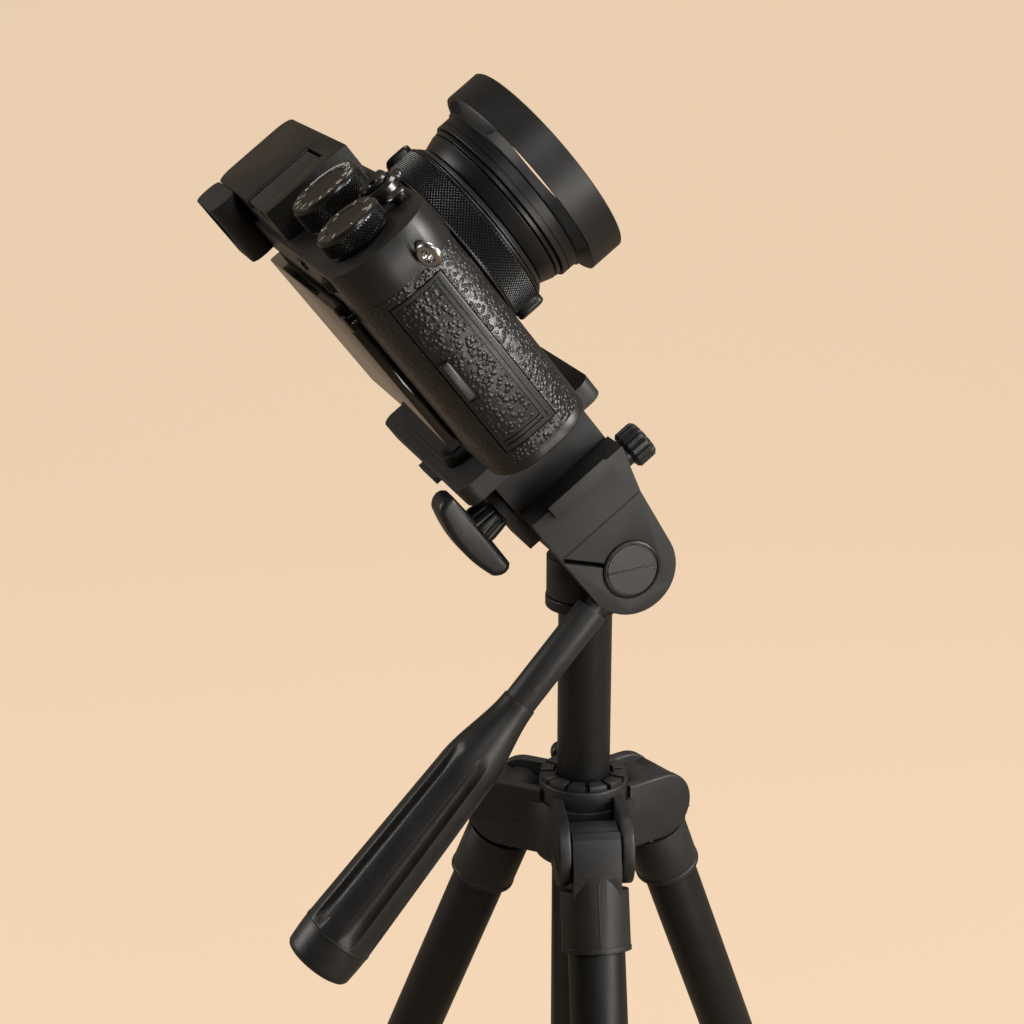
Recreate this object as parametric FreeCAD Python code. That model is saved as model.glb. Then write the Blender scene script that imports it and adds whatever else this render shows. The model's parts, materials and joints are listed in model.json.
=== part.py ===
"""Compact rangefinder-style camera on a three-way head and a small folding tripod.

Millimetres, +Z up, floor at Z = 0. The design frame has the column axis on X = Y = 0; the last
step moves every piece so that the origin is the bottom centre of the whole object's box.
The lens points along +X and is tilted up; the tilt axis is parallel to Y.
Everything above the tilt axis is drawn level in the tilt frame (u forward, v to the camera's
left, w up, all from the tilt axis) and is then turned up by CAMERA_TILT.
"""
import FreeCAD, Part
import math
import os

Vec = FreeCAD.Vector
X, Y, Z = Vec(1, 0, 0), Vec(0, 1, 0), Vec(0, 0, 1)

# ---- driving dimensions: legs and crown
LEG_COUNT = 3
FIRST_LEG_AZIMUTH = 16.5
LEG_SPREAD = 22.0
LEG_LENGTH = 292.0
HINGE_RADIUS = 22.0
HINGE_Z = LEG_LENGTH * math.cos(math.radians(LEG_SPREAD))
HINGE_PIN_R = 2.5
EAR_R = 10.0
EAR_THICKNESS = 3.6
KNUCKLE_WIDTH = 13.4
SLEEVE_W = (-28.0, -11.3)
SLEEVE_R = 9.65
UPPER_TUBE_R = 8.0
LOWER_TUBE_R = 6.4
TUBE_WALL = 1.0
COLLAR_R = 10.4
FOOT_R = 8.6

# ---- driving dimensions: column
COLUMN_R = 7.6
BUSHING_R = 12.8
LOCK_AZIMUTH = FIRST_LEG_AZIMUTH + 60.0
LOCK_Z = HINGE_Z + 9.5
LOCK_BOSS_R = 2.9
LOCK_SCREW_R = 1.6
CENTRE_TUBE_R = 8.9
FIT = 0.08

# ---- driving dimensions: head
TILT_AXIS_X = 5.5
TILT_AXIS_Z = HINGE_Z + 81.0
CAMERA_TILT = 38.0
BOSS_R = 13.0
DRUM_R = 8.25
CHEEK_V = (-20.0, -12.0)
BLOCK_W = (16.0, 29.5)
BARREL_R = 9.3
BARREL_U = (-13.5, 18.1)
BARREL_W = 30.5
PLATFORM_U = (-22.0, 23.5)
PLATFORM_V = (-19.0, 57.0)
PLATFORM_W = (44.0, 50.0)
KNOB_V, KNOB_W = -6.0, 20.4
LEVER_UV = (-18.0, 26.0)
HANDLE_V = -16.4
HANDLE_ANGLE = 191.6
HANDLE_END = 138.0

# ---- driving dimensions: camera
BODY_U = (-13.5, 16.0)
BODY_V = (-50.0, 75.0)
BODY_CORNER_R = 12.5
BASE_W = 55.5
COVER_W = 112.0
DECK_W = 122.5
RAISED_W = 131.5
RAISED_V = 8.0
LENS_V = 9.5
LENS_W = 92.5
SCREW_UV = (0.0, 14.0)
DOOR_U = (-8.0, 7.0)
DOOR_W = (62.5, 109.0)
DOOR_HINGE_UV = (DOOR_U[1] + 0.3, BODY_V[0])
BATTERY_U = (-9.0, 9.0)
BATTERY_V = (-46.0, -23.0)
REAR_PANEL_START = -22.0
SCREEN_V = (-18.0, 56.0)
SCREEN_W = (62.0, 109.0)
SHOE_V = (14.5, 33.5)
SHOE_U = (-12.3, 9.3)
LUG_UW = (6.8, 115.0)
COVER_WALL = 2.4

# ---- driving dimensions: camera controls
EYE_V, EYE_W, EYE_R = 60.0, 123.5, 5.4
WHEEL_UV, WHEEL_W = (-10.6, -30.0), 118.0
QUICK_V, QUICK_W = -3.0, 118.5
STICK_V, STICK_W = -25.0, 106.0
DIAL_1, DIAL_1_R = (2.6, -4.0), 10.2
DIAL_2, DIAL_2_R = (-1.2, -32.8), 8.8
RELEASE = (11.0, -18.5)
FUNCTION = (12.2, -30.6)
DIAL_SHAFT_R, POWER_SHAFT_R, FUNCTION_SHAFT_R = 2.5, 3.6, 1.9

# ---- driving dimensions: lens
FLANGE_R = 27.2
MOUNT_R = 23.8
GLASS_R = 16.95
TAB_ANGLE = -24.0
RING_R = 25.4
HOOD_R = 29.2
HOOD_SEAT_R = 22.9
HOOD_SLOT_ANGLE = 54.0
SHOE_DEPTH = 3.4

NODES = {}


# ---------------------------------------------------------------- helpers
def rod(radius, start, end):
    """Solid cylinder between two points."""
    start, end = Vec(*start), Vec(*end)
    return Part.makeCylinder(radius, (end - start).Length, start, end - start)


def tube(outer, inner, start, end):
    return rod(outer, start, end).cut(rod(inner, start, end))


def block(x, y, z):
    """Box from three (low, high) pairs."""
    return Part.makeBox(x[1] - x[0], y[1] - y[0], z[1] - z[0], Vec(x[0], y[0], z[0]))


def fuse(first, *others):
    for other in others:
        first = first.fuse(other)
    return first.removeSplitter()


def prism(points, start, depth):
    """Extrude a closed outline of 3-D points along a vector."""
    corners = [Vec(*p) for p in points]
    face = Part.Face(Part.makePolygon(corners + corners[:1]))
    face.translate(start)
    return face.extrude(depth)


def rounded_plan(u, v, radius, w):
    """Solid with a rounded-rectangle plan between two heights."""
    core = fuse(
        block((u[0] + radius, u[1] - radius), v, w),
        block(u, (v[0] + radius, v[1] - radius), w),
    )
    posts = [
        rod(radius, (a, b, w[0]), (a, b, w[1]))
        for a in (u[0] + radius, u[1] - radius)
        for b in (v[0] + radius, v[1] - radius)
    ]
    return fuse(core, *posts)


def body_plan(inset, w):
    """The camera's plan, drawn in by an inset, between two heights."""
    return rounded_plan(
        (BODY_U[0] + inset, BODY_U[1] - inset),
        (BODY_V[0] + inset, BODY_V[1] - inset),
        BODY_CORNER_R - inset,
        w,
    )


def lens_turn(profile):
    """Revolve (distance along the lens, radius) points about the lens axis."""
    points = [(u, LENS_V, LENS_W + r) for u, r in profile]
    corners = [Vec(*p) for p in points]
    face = Part.Face(Part.makePolygon(corners + corners[:1]))
    return face.revolve(Vec(0, LENS_V, LENS_W), X, 360)


def add(name, shape):
    NODES[name] = shape


def add_tilted(name, shape):
    """Place a piece that was drawn level in the tilt frame."""
    shape = shape.copy()
    shape.rotate(Vec(0, 0, 0), Y, -CAMERA_TILT)
    shape.translate(Vec(TILT_AXIS_X, 0, TILT_AXIS_Z))
    add(name, shape)


# ---------------------------------------------------------------- tripod
def leg_azimuth(index):
    return FIRST_LEG_AZIMUTH + 360.0 / LEG_COUNT * index


def place_leg(shape, index):
    """Leg pieces are drawn hanging straight down from a hinge at the origin."""
    shape = shape.copy()
    shape.rotate(Vec(0, 0, 0), Y, -LEG_SPREAD)
    shape.translate(Vec(HINGE_RADIUS, 0, HINGE_Z))
    shape.rotate(Vec(0, 0, 0), Z, leg_azimuth(index))
    return shape


def knuckle():
    """Hinge eye, a front block that slopes into the sleeve, and the sleeve that holds the upper tube."""
    half = KNUCKLE_WIDTH / 2
    eye = rod(7.5, (0, -half, 0), (0, half, 0))
    shank = block((-6.5, 6.5), (-half, half), (SLEEVE_W[1] - 1.0, -2.0))
    front = [(0.0, 5.0), (8.2, 5.0), (9.7, 3.0), (9.9, -6.6), (6.4, -14.6), (0.0, -14.6)]
    block_front = prism([(x, -half, z) for x, z in front], Vec(0, 0, 0), Vec(0, 2 * half, 0))
    sleeve = rod(SLEEVE_R, (0, 0, SLEEVE_W[0]), (0, 0, SLEEVE_W[1]))
    root = rod(SLEEVE_R, (0, 0, SLEEVE_W[1] - 1.0), (0, 0, -5.0))
    root = root.common(block((0.0, 10.0), (-half, half), (-14.0, -4.0)))
    body = fuse(eye, shank, block_front, sleeve, root)
    pocket = rod(UPPER_TUBE_R, (0, 0, -36.0), (0, 0, -15.0))
    bore = rod(HINGE_PIN_R + FIT, (0, -half - 1, 0), (0, half + 1, 0))
    return body.cut(pocket).cut(bore)


def upper_tube():
    return tube(UPPER_TUBE_R, UPPER_TUBE_R - TUBE_WALL, (0, 0, -190.0), (0, 0, -15.0))


def twist_collar():
    """Ribbed lock collar round the end of the upper tube."""
    sleeve = rod(COLLAR_R, (0, 0, -203.0), (0, 0, -176.0))
    tube_way = rod(UPPER_TUBE_R + FIT, (0, 0, -190.4), (0, 0, -175.0))
    lower_way = rod(LOWER_TUBE_R + FIT, (0, 0, -204.0), (0, 0, -189.0))
    return sleeve.cut(tube_way).cut(lower_way)


def lower_tube():
    return tube(LOWER_TUBE_R, LOWER_TUBE_R - TUBE_WALL, (0, 0, -284.0), (0, 0, -20.0))


def foot():
    """Rubber foot, cut level where it meets the floor."""
    body = fuse(
        rod(LOWER_TUBE_R + 1.6, (0, 0, -286.0), (0, 0, -270.0)),
        rod(FOOT_R, (0, 0, -308.0), (0, 0, -283.0)),
    )
    return body.cut(rod(LOWER_TUBE_R, (0, 0, -284.0), (0, 0, -269.0)))


def crown_web(offset):
    """Hollow wall between two neighbouring ears, drawn between their outer faces."""
    corner = offset / math.cos(math.radians(30))
    reach = 7.0
    triangle = [
        (corner - 3.0, 0, HINGE_Z - 9.6),
        (corner + reach / 2 - 0.6, -reach * 0.866 - 1.0, HINGE_Z - 9.6),
        (corner + reach / 2 - 0.6, reach * 0.866 + 1.0, HINGE_Z - 9.6),
    ]
    wall = prism(triangle, Vec(0, 0, 0), Vec(0, 0, 16.0))
    centre = corner + 2 * reach
    hollow = rod(reach * 1.732, (centre, 0, HINGE_Z - 12.0), (centre, 0, HINGE_Z + 9.0))
    return wall.cut(hollow)


def crown():
    """Hub with a pair of ears and a hinge pin for each leg."""
    hub = rod(13.8, (0, 0, HINGE_Z - 11.0), (0, 0, HINGE_Z + 6.5))
    half = KNUCKLE_WIDTH / 2 + 0.35
    body = hub
    for index in range(LEG_COUNT):
        pieces = [rod(HINGE_PIN_R, (HINGE_RADIUS, -half - 1, HINGE_Z), (HINGE_RADIUS, half + 1, HINGE_Z))]
        for side in (-1, 1):
            y = sorted((side * half, side * (half + EAR_THICKNESS)))
            pieces.append(block((7.0, HINGE_RADIUS), y, (HINGE_Z - EAR_R, HINGE_Z + EAR_R)))
            pieces.append(rod(EAR_R, (HINGE_RADIUS, y[0], HINGE_Z), (HINGE_RADIUS, y[1], HINGE_Z)))
        for piece in pieces:
            piece.rotate(Vec(0, 0, 0), Z, leg_azimuth(index))
        web = crown_web(half + EAR_THICKNESS)
        web.rotate(Vec(0, 0, 0), Z, leg_azimuth(index) + 180.0 / LEG_COUNT)
        body = fuse(body, *pieces, web)
    ring_seat = rod(BUSHING_R, (0, 0, HINGE_Z + 5.0), (0, 0, HINGE_Z + 20.0))
    bore = rod(CENTRE_TUBE_R, (0, 0, HINGE_Z - 20.0), (0, 0, HINGE_Z + 20.0))
    return body.cut(ring_seat).cut(bore).cut(lock_rod(LOCK_BOSS_R, 0, 30.0))


def lock_rod(radius, start, end):
    """Round stretch along the column lock's axis, by distance from the column."""
    piece = rod(radius, (start, 0, LOCK_Z), (end, 0, LOCK_Z))
    piece.rotate(Vec(0, 0, 0), Z, LOCK_AZIMUTH)
    return piece


def column_bushing():
    """Notched ring on the crown that guides the column, with the lock screw's boss."""
    ring = rod(BUSHING_R, (0, 0, HINGE_Z + 5.0), (0, 0, HINGE_Z + 14.0))
    body = fuse(ring, lock_rod(LOCK_BOSS_R, 0, 16.0))
    bore = rod(COLUMN_R + FIT, (0, 0, HINGE_Z), (0, 0, HINGE_Z + 20.0))
    return body.cut(bore).cut(lock_rod(LOCK_SCREW_R + FIT, 0, 20.0))


def column_lock_knob():
    """Wing screw that clamps the column."""
    wing = block((19.0, 23.6), (-7.0, 7.0), (LOCK_Z - 3.4, LOCK_Z + 3.4))
    wing.rotate(Vec(0, 0, 0), Z, LOCK_AZIMUTH)
    return fuse(lock_rod(LOCK_SCREW_R, 9.0, 20.0), wing)


def make_tripod():
    floor = block((-400.0, 400.0), (-400.0, 400.0), (-60.0, 0.0))
    for index in range(LEG_COUNT):
        tag = "_%d" % (index + 1)
        add("leg_knuckle" + tag, place_leg(knuckle(), index))
        add("leg_upper_tube" + tag, place_leg(upper_tube(), index))
        add("leg_lock_collar" + tag, place_leg(twist_collar(), index))
        add("leg_lower_tube" + tag, place_leg(lower_tube(), index))
        add("leg_foot" + tag, place_leg(foot(), index).cut(floor))
    add("crown", crown())
    bottom = TILT_AXIS_Z - 172.0
    add("centre_tube", tube(CENTRE_TUBE_R, 7.95, (0, 0, bottom), (0, 0, HINGE_Z + 5.0)))
    add("column_bushing", column_bushing())
    add("column_lock_knob", column_lock_knob())
    make_column()


def make_column():
    """Sliding column with the fixed disc and stud that the head turns on."""
    z = TILT_AXIS_Z
    shaft = tube(COLUMN_R, 6.4, (0, 0, z - 236.0), (0, 0, z - 16.0))
    disc = rod(11.3, (0, 0, z - 16.2), (0, 0, z - 12.9))
    stud = rod(4.5, (0, 0, z - 14.0), (0, 0, z - 7.0))
    add("column", fuse(shaft, disc, stud))
    cap = rod(COLUMN_R + 0.9, (0, 0, z - 244.0), (0, 0, z - 236.0))
    plug = rod(6.4, (0, 0, z - 237.0), (0, 0, z - 228.0))
    hook_hole = rod(2.6, (0, -20.0, z - 249.0), (0, 20.0, z - 249.0))
    lug = block((-6.0, 6.0), (-1.8, 1.8), (z - 254.0, z - 243.0))
    add("column_end_cap", fuse(cap, plug, lug).cut(hook_hole))


# ---------------------------------------------------------------- head
def make_neck():
    """Turning neck: a drum on the column disc with a tongue that carries the tilt pin."""
    z = TILT_AXIS_Z
    drum = rod(11.0, (0, 0, z - 12.6), (0, 0, z - 1.6))
    tongue = rod(9.2, (TILT_AXIS_X, -9.0, z), (TILT_AXIS_X, 9.0, z))
    foot_web = block((-3.0, 10.0), (-9.0, 9.0), (z - 8.0, z))
    body = fuse(drum, tongue, foot_web.common(rod(14.0, (0, 0, z - 9.0), (0, 0, z + 1.0))))
    stud_way = rod(4.5 + FIT, (0, 0, z - 15.0), (0, 0, z - 6.8))
    pin_way = rod(5.0, (TILT_AXIS_X, -12.0, z), (TILT_AXIS_X, 12.0, z))
    seat = rod(DRUM_R + 0.3, (TILT_AXIS_X, -12.0, z), (TILT_AXIS_X, -9.0, z))
    add("neck", body.cut(stud_way).cut(pin_way).cut(seat))
    pin = fuse(
        rod(DRUM_R, (TILT_AXIS_X, -20.4, z), (TILT_AXIS_X, -9.0, z)),
        rod(5.0, (TILT_AXIS_X, -9.5, z), (TILT_AXIS_X, 9.8, z)),
    )
    add("tilt_pin", pin)


def cheek_outline():
    """Side of the tilt block below its seam: square shoulders running into the round boss."""
    left, right, top = -13.0, 15.2, BLOCK_W[0]
    reach = math.hypot(right, top)
    lean = math.atan2(top, right) - math.acos(BOSS_R / reach)
    tangent = (BOSS_R * math.cos(lean), BOSS_R * math.sin(lean))
    return [(left, top), (right, top), tangent, (0, 0), (left, 0.5)]


def make_tilt_block():
    v0, v1 = CHEEK_V
    outline = [(u, v0, w) for u, w in cheek_outline()]
    cheek = fuse(
        prism(outline, Vec(0, 0, 0), Vec(0, v1 - v0, 0)),
        rod(BOSS_R, (0, v0, 0), (0, v1, 0)),
    )
    low, high = BLOCK_W
    upper = prism(
        [(-13.0, v0, low), (15.2, v0, low), (18.8, v0, high), (-13.0, v0, high)],
        Vec(0, 0, 0),
        Vec(0, 11.5 - v0, 0),
    )
    tab = block((-7.0, 12.6), (v0 - 2.4, v0 + 2.0), (26.8, 31.4))
    lug = fuse(
        rod(8.4, (-16.6, 0, BARREL_W), (-13.9, 0, BARREL_W)),
        block((-16.6, -12.0), (-8.4, 8.4), (low + 3.0, BARREL_W)),
    )
    body = fuse(cheek, upper, tab)
    groove = rod(BARREL_R + 0.35, (-13.6, 0, BARREL_W), (25.0, 0, BARREL_W))
    body = fuse(body.cut(groove), lug.cut(groove))
    slit = block((-20.0, -6.0), (v0 - 1, v1 + 1), (-0.7, 0.7))
    slit.rotate(Vec(0, 0, 0), Y, 51.0)
    far_side = block((-13.6, 25.0), (1.0, 15.0), (BARREL_W - BARREL_R - 0.6, 40.0))
    body = body.cut(slit).cut(far_side)
    body = body.cut(rod(DRUM_R + FIT, (0, v0 - 1, 0), (0, v1 + 1, 0)))
    body = body.cut(rod(3.0 + FIT, (-20.0, 0, BARREL_W), (-10.0, 0, BARREL_W)))
    body = body.cut(rod(2.0 + FIT, (5.0, KNOB_V, KNOB_W), (20.0, KNOB_V, KNOB_W)))
    body = body.cut(handle_rod(3.0 + FIT, 8.0, 20.0))
    add_tilted("tilt_block", body)


def handle_point(distance):
    angle = math.radians(HANDLE_ANGLE)
    return (distance * math.cos(angle), HANDLE_V, distance * math.sin(angle))


def handle_rod(radius, start, end):
    return rod(radius, handle_point(start), handle_point(end))


def handle_cone(r_start, r_end, start, end):
    a, b = Vec(*handle_point(start)), Vec(*handle_point(end))
    return Part.makeCone(r_start, r_end, (b - a).Length, a, b - a)


def make_handle():
    """Pan handle: threaded end, plain rod and a tapered grip; a twist clamps the tilt."""
    add_tilted("handle_rod", fuse(handle_rod(3.0, 9.6, 15.0), handle_rod(4.6, 14.2, 60.0)))
    grip = fuse(
        handle_cone(5.4, 8.6, 45.0, 76.0),
        handle_cone(8.6, 10.3, 76.0, 126.0),
        handle_cone(10.3, 9.6, 126.0, HANDLE_END),
    )
    add_tilted("handle_grip", grip.cut(handle_rod(4.6, 40.0, 60.0)))


def make_head_knobs():
    shaft = rod(3.0, (-22.6, 0, BARREL_W), (6.0, 0, BARREL_W))
    hub = rod(5.0, (-23.2, 0, BARREL_W), (-17.0, 0, BARREL_W))
    bar = block((-31.0, -22.6), (-5.0, 5.0), (BARREL_W - 14.2, BARREL_W + 14.2))
    corners = [e for e in bar.Edges if abs(e.tangentAt(e.FirstParameter).y) > 0.9]
    bow = rod(60.0, (29.0, -6.0, BARREL_W), (29.0, 6.0, BARREL_W))
    bar = bar.makeFillet(2.4, corners).common(bow)
    add_tilted("side_tilt_knob", fuse(bar, hub, shaft))
    knob = fuse(
        rod(2.0, (6.0, KNOB_V, KNOB_W), (21.0, KNOB_V, KNOB_W)),
        rod(3.6, (18.6, KNOB_V, KNOB_W), (21.0, KNOB_V, KNOB_W)),
        rod(5.6, (20.6, KNOB_V, KNOB_W), (27.0, KNOB_V, KNOB_W)),
    )
    add_tilted("tilt_friction_knob", knob)


def make_platform():
    slab = block(PLATFORM_U, PLATFORM_V, PLATFORM_W)
    corners = [e for e in slab.Edges if abs(e.tangentAt(e.FirstParameter).z) > 0.9]
    slab = slab.makeFillet(4.0, corners)
    barrel = rod(BARREL_R, (BARREL_U[0], 0, BARREL_W), (BARREL_U[1], 0, BARREL_W))
    web = block(BARREL_U, (-BARREL_R, BARREL_R), (BARREL_W, PLATFORM_W[0] + 1.0))
    body = fuse(slab, barrel, web)
    body = body.cut(rod(3.0 + FIT, (-14.0, 0, BARREL_W), (6.5, 0, BARREL_W)))
    head_way = rod(6.4, (*SCREW_UV, PLATFORM_W[1] - 3.2), (*SCREW_UV, PLATFORM_W[1] + 1.0))
    lever_way = rod(2.0 + FIT, (*LEVER_UV, 43.0), (*LEVER_UV, 48.0))
    add_tilted("platform", body.cut(head_way).cut(lever_way))

    plate = rounded_plan((-19.0, 19.0), (-5.0, 43.0), 3.0, (PLATFORM_W[1], 53.5))
    way = rod(3.3, (*SCREW_UV, 40.0), (*SCREW_UV, 60.0))
    add_tilted("quick_plate", plate.cut(way))
    pad = rounded_plan((-18.0, 18.0), (-4.0, 42.0), 3.0, (53.5, BASE_W))
    add_tilted("plate_pad", pad.cut(way))
    screw = fuse(
        rod(6.0, (*SCREW_UV, 47.2), (*SCREW_UV, PLATFORM_W[1])),
        rod(3.1, (*SCREW_UV, 49.0), (*SCREW_UV, BASE_W + 4.4)),
    )
    add_tilted("camera_screw", screw)

    pivot = rod(2.0, (*LEVER_UV, 41.0), (*LEVER_UV, 47.6))
    arm = block((-23.4, -15.0), (LEVER_UV[1] - 11.0, LEVER_UV[1] + 3.0), (41.4, 43.6))
    add_tilted("plate_lever", fuse(pivot, arm))


# ---------------------------------------------------------------- camera casing
def make_casing():
    """Base plate, hollow middle casing and leather band."""
    base = body_plan(0.4, (BASE_W, BASE_W + 3.2))
    edges = [e for e in base.Edges if abs(e.CenterOfMass.z - BASE_W) < 0.01]
    base = base.makeChamfer(0.7, edges)
    hatch = block(
        (BATTERY_U[0] - 0.3, BATTERY_U[1] + 0.3),
        (BATTERY_V[0] - 0.3, BATTERY_V[1] + 0.3),
        (BASE_W - 1, BASE_W + 5),
    )
    screw_way = rod(3.1 + FIT, (*SCREW_UV, BASE_W - 1), (*SCREW_UV, BASE_W + 4.7))
    add_tilted("base_plate", base.cut(hatch).cut(screw_way))

    low = BASE_W + 3.2
    shell = body_plan(1.2, (low, COVER_W))
    room = body_plan(3.2, (low + 1.6, COVER_W - 1.6))
    lens_way = rod(24.0, (5.0, LENS_V, LENS_W), (30.0, LENS_V, LENS_W))
    door_room = block(
        (DOOR_U[0] + 1.5, DOOR_U[1] - 1.0),
        (BODY_V[0] - 5.0, BODY_V[0] + 6.0),
        (DOOR_W[0] + 2, DOOR_W[1] - 2),
    )
    hatch_room = block(BATTERY_U, BATTERY_V, (low - 1.0, low + 3.0))
    shell = shell.cut(room).cut(lens_way).cut(door_room).cut(hatch_room).cut(screw_way)
    stick_way = rod(1.9, (-16.0, STICK_V, STICK_W), (-10.0, STICK_V, STICK_W))
    shell = shell.cut(door_gap(0.3)).cut(stick_way)
    add_tilted("body_shell", shell.cut(block((-16.0, -11.0), SCREEN_V, SCREEN_W)))

    band = body_plan(0.3, (low, COVER_W)).cut(body_plan(1.2, (low - 1, COVER_W + 1)))
    flange_way = rod(27.6, (5.0, LENS_V, LENS_W), (30.0, LENS_V, LENS_W))
    rear_way = block((-16.0, -10.0), (REAR_PANEL_START, 90.0), (low - 1, COVER_W + 1))
    band = band.cut(flange_way).cut(rear_way).cut(door_gap(0.3)).cut(stick_way)
    add_tilted("leather_band", band)
    make_doors()


def door_gap(gap):
    """Space that the terminal door takes in the side wall."""
    return block(
        (DOOR_U[0] - gap, DOOR_U[1] + gap),
        (BODY_V[0] - 2.0, BODY_V[0] + 7.0),
        (DOOR_W[0] - gap, DOOR_W[1] + gap),
    ).common(body_plan(-2.0, (DOOR_W[0] - 1, DOOR_W[1] + 1)).cut(
        body_plan(2.0, (DOOR_W[0] - 2, DOOR_W[1] + 2))
    ))


def make_doors():
    """Side door over the sockets, and the battery door in the base."""
    zone = block(DOOR_U, (BODY_V[0] - 2.0, BODY_V[0] + 7.0), DOOR_W)
    skin = body_plan(0.2, DOOR_W).cut(body_plan(1.8, (DOOR_W[0] - 1, DOOR_W[1] + 1)))
    pull = rounded_plan((-7.7, -5.3), (-49.9, -47.4), 1.1, (80.0, 91.0))
    add_tilted("terminal_door", fuse(skin.common(zone), pull))
    hatch = block(BATTERY_U, BATTERY_V, (BASE_W, BASE_W + 2.0))
    add_tilted("battery_door", hatch)
    add_tilted("battery", block((-7.4, 8.0), (-43.4, -24.0), (60.6, 98.0)))
    board = fuse(
        block((-8.4, -7.0), (-20.0, 66.0), (62.0, 108.0)),
        block((-7.2, -4.0), (LENS_V - 14, LENS_V + 14), (LENS_W - 11, LENS_W + 11)),
    )
    add_tilted("sensor_board", board)
    add_tilted("rear_screen", block((-16.3, -12.4), SCREEN_V, SCREEN_W))


def make_top_cover():
    """Top cover with the lower dial deck and the raised finder deck."""
    skirt = body_plan(0.0, (COVER_W, DECK_W))
    raised = block(
        (BODY_U[0] + 1.5, BODY_U[1] - 1.0),
        (RAISED_V, BODY_V[1] - 0.8),
        (DECK_W - 1, RAISED_W),
    )
    corners = [
        e
        for e in raised.Edges
        if abs(e.tangentAt(e.FirstParameter).z) > 0.9 and e.CenterOfMass.y > RAISED_V + 5
    ]
    raised = raised.makeFillet(5.0, corners)
    body = fuse(skirt, raised)
    body = body.cut(body_plan(COVER_WALL, (COVER_W - 1, DECK_W - COVER_WALL)))
    hollow = block(
        (BODY_U[0] + 4.0, BODY_U[1] - 4.0),
        (RAISED_V + COVER_WALL, BODY_V[1] - 7.0),
        (DECK_W - 4, RAISED_W - COVER_WALL),
    )
    body = body.cut(hollow)
    for opening in cover_openings():
        body = body.cut(opening)
    wheel_pin = rod(1.2, (*WHEEL_UV, WHEEL_W - 1.9), (*WHEEL_UV, DECK_W - 2.0))
    add_tilted("top_cover", body.fuse(wheel_pin))
    add_tilted("hot_shoe", hot_shoe())
    lugs = [strap_lug(BODY_V[0], -1), strap_lug(BODY_V[1], 1)]
    add_tilted("strap_lugs", Part.makeCompound(lugs))


def cover_openings():
    """Everything that passes through the top cover."""
    shafts = [
        (DIAL_1, DIAL_SHAFT_R),
        (DIAL_2, DIAL_SHAFT_R),
        (RELEASE, POWER_SHAFT_R),
        (FUNCTION, FUNCTION_SHAFT_R),
    ]
    ways = [rod(radius + FIT, (*uv, DECK_W - 6), (*uv, DECK_W + 5)) for uv, radius in shafts]
    ways.append(block((SHOE_U[0] - 0.2, SHOE_U[1] + 0.2), SHOE_V, (RAISED_W - SHOE_DEPTH, RAISED_W + 1)))
    ways.append(rod(EYE_R, (-20.0, EYE_V, EYE_W), (-5.0, EYE_V, EYE_W)))
    ways.append(block((9.0, 20.0), (EYE_V - 8.5, EYE_V + 8.5), (EYE_W - 5.2, EYE_W + 5.2)))
    v = WHEEL_UV[1]
    ways.append(block((-15.0, -9.6), (v - 5.0, v + 5.0), (WHEEL_W - 2.2, WHEEL_W + 2.2)))
    ways.append(block((-15.0, -10.0), (QUICK_V - 3.2, QUICK_V + 3.2), (QUICK_W - 1.8, QUICK_W + 1.8)))
    ways.append(rod(FLANGE_R, (BODY_U[1] - 1.2, LENS_V, LENS_W), (30.0, LENS_V, LENS_W)))
    ways.append(rod(MOUNT_R, (5.0, LENS_V, LENS_W), (30.0, LENS_V, LENS_W)))
    ways += [lug_post(BODY_V[0], -1), lug_post(BODY_V[1], 1)]
    return ways


def hot_shoe():
    """Accessory shoe: a floor plate with two side rails folded over it."""
    u, (v0, v1), floor = SHOE_U, SHOE_V, RAISED_W - SHOE_DEPTH
    plate = block(u, (v0 + 0.1, v1 - 0.1), (floor, floor + 0.7))
    rails = []
    for inner, outer in ((v0 + 1.9, v0 + 0.1), (v1 - 1.9, v1 - 0.1)):
        low, high = sorted((inner, outer))
        rails.append(block(u, (low, high), (floor + 2.6, floor + 3.3)))
        wall = sorted((outer, outer + (0.7 if inner > outer else -0.7)))
        rails.append(block(u, wall, (floor, floor + 3.3)))
    return fuse(plate, *rails)


def lug_post(v, side):
    """Post of a strap lug, through the end wall of the cover."""
    u, w = LUG_UW
    return rod(1.5, (u, v - side * 2.2, w), (u, v + side * 1.0, w))


def strap_lug(v, side):
    """Round steel loop on a short post."""
    u, w = LUG_UW
    ring = Part.makeTorus(2.5, 1.0, Vec(u, v + side * 3.6, w), X)
    return fuse(lug_post(v, side), ring)


def dial(centre, radius, low, high):
    """Chamfered drum on a shaft."""
    u, v = centre
    top = rod(radius, (u, v, low), (u, v, high))
    edge = [e for e in top.Edges if abs(e.CenterOfMass.z - high) < 0.01 and e.Closed]
    top = top.makeChamfer(0.5, edge[:1])
    return fuse(top, rod(DIAL_SHAFT_R, (u, v, low - 3.6), (u, v, low + 1.0)))


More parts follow.
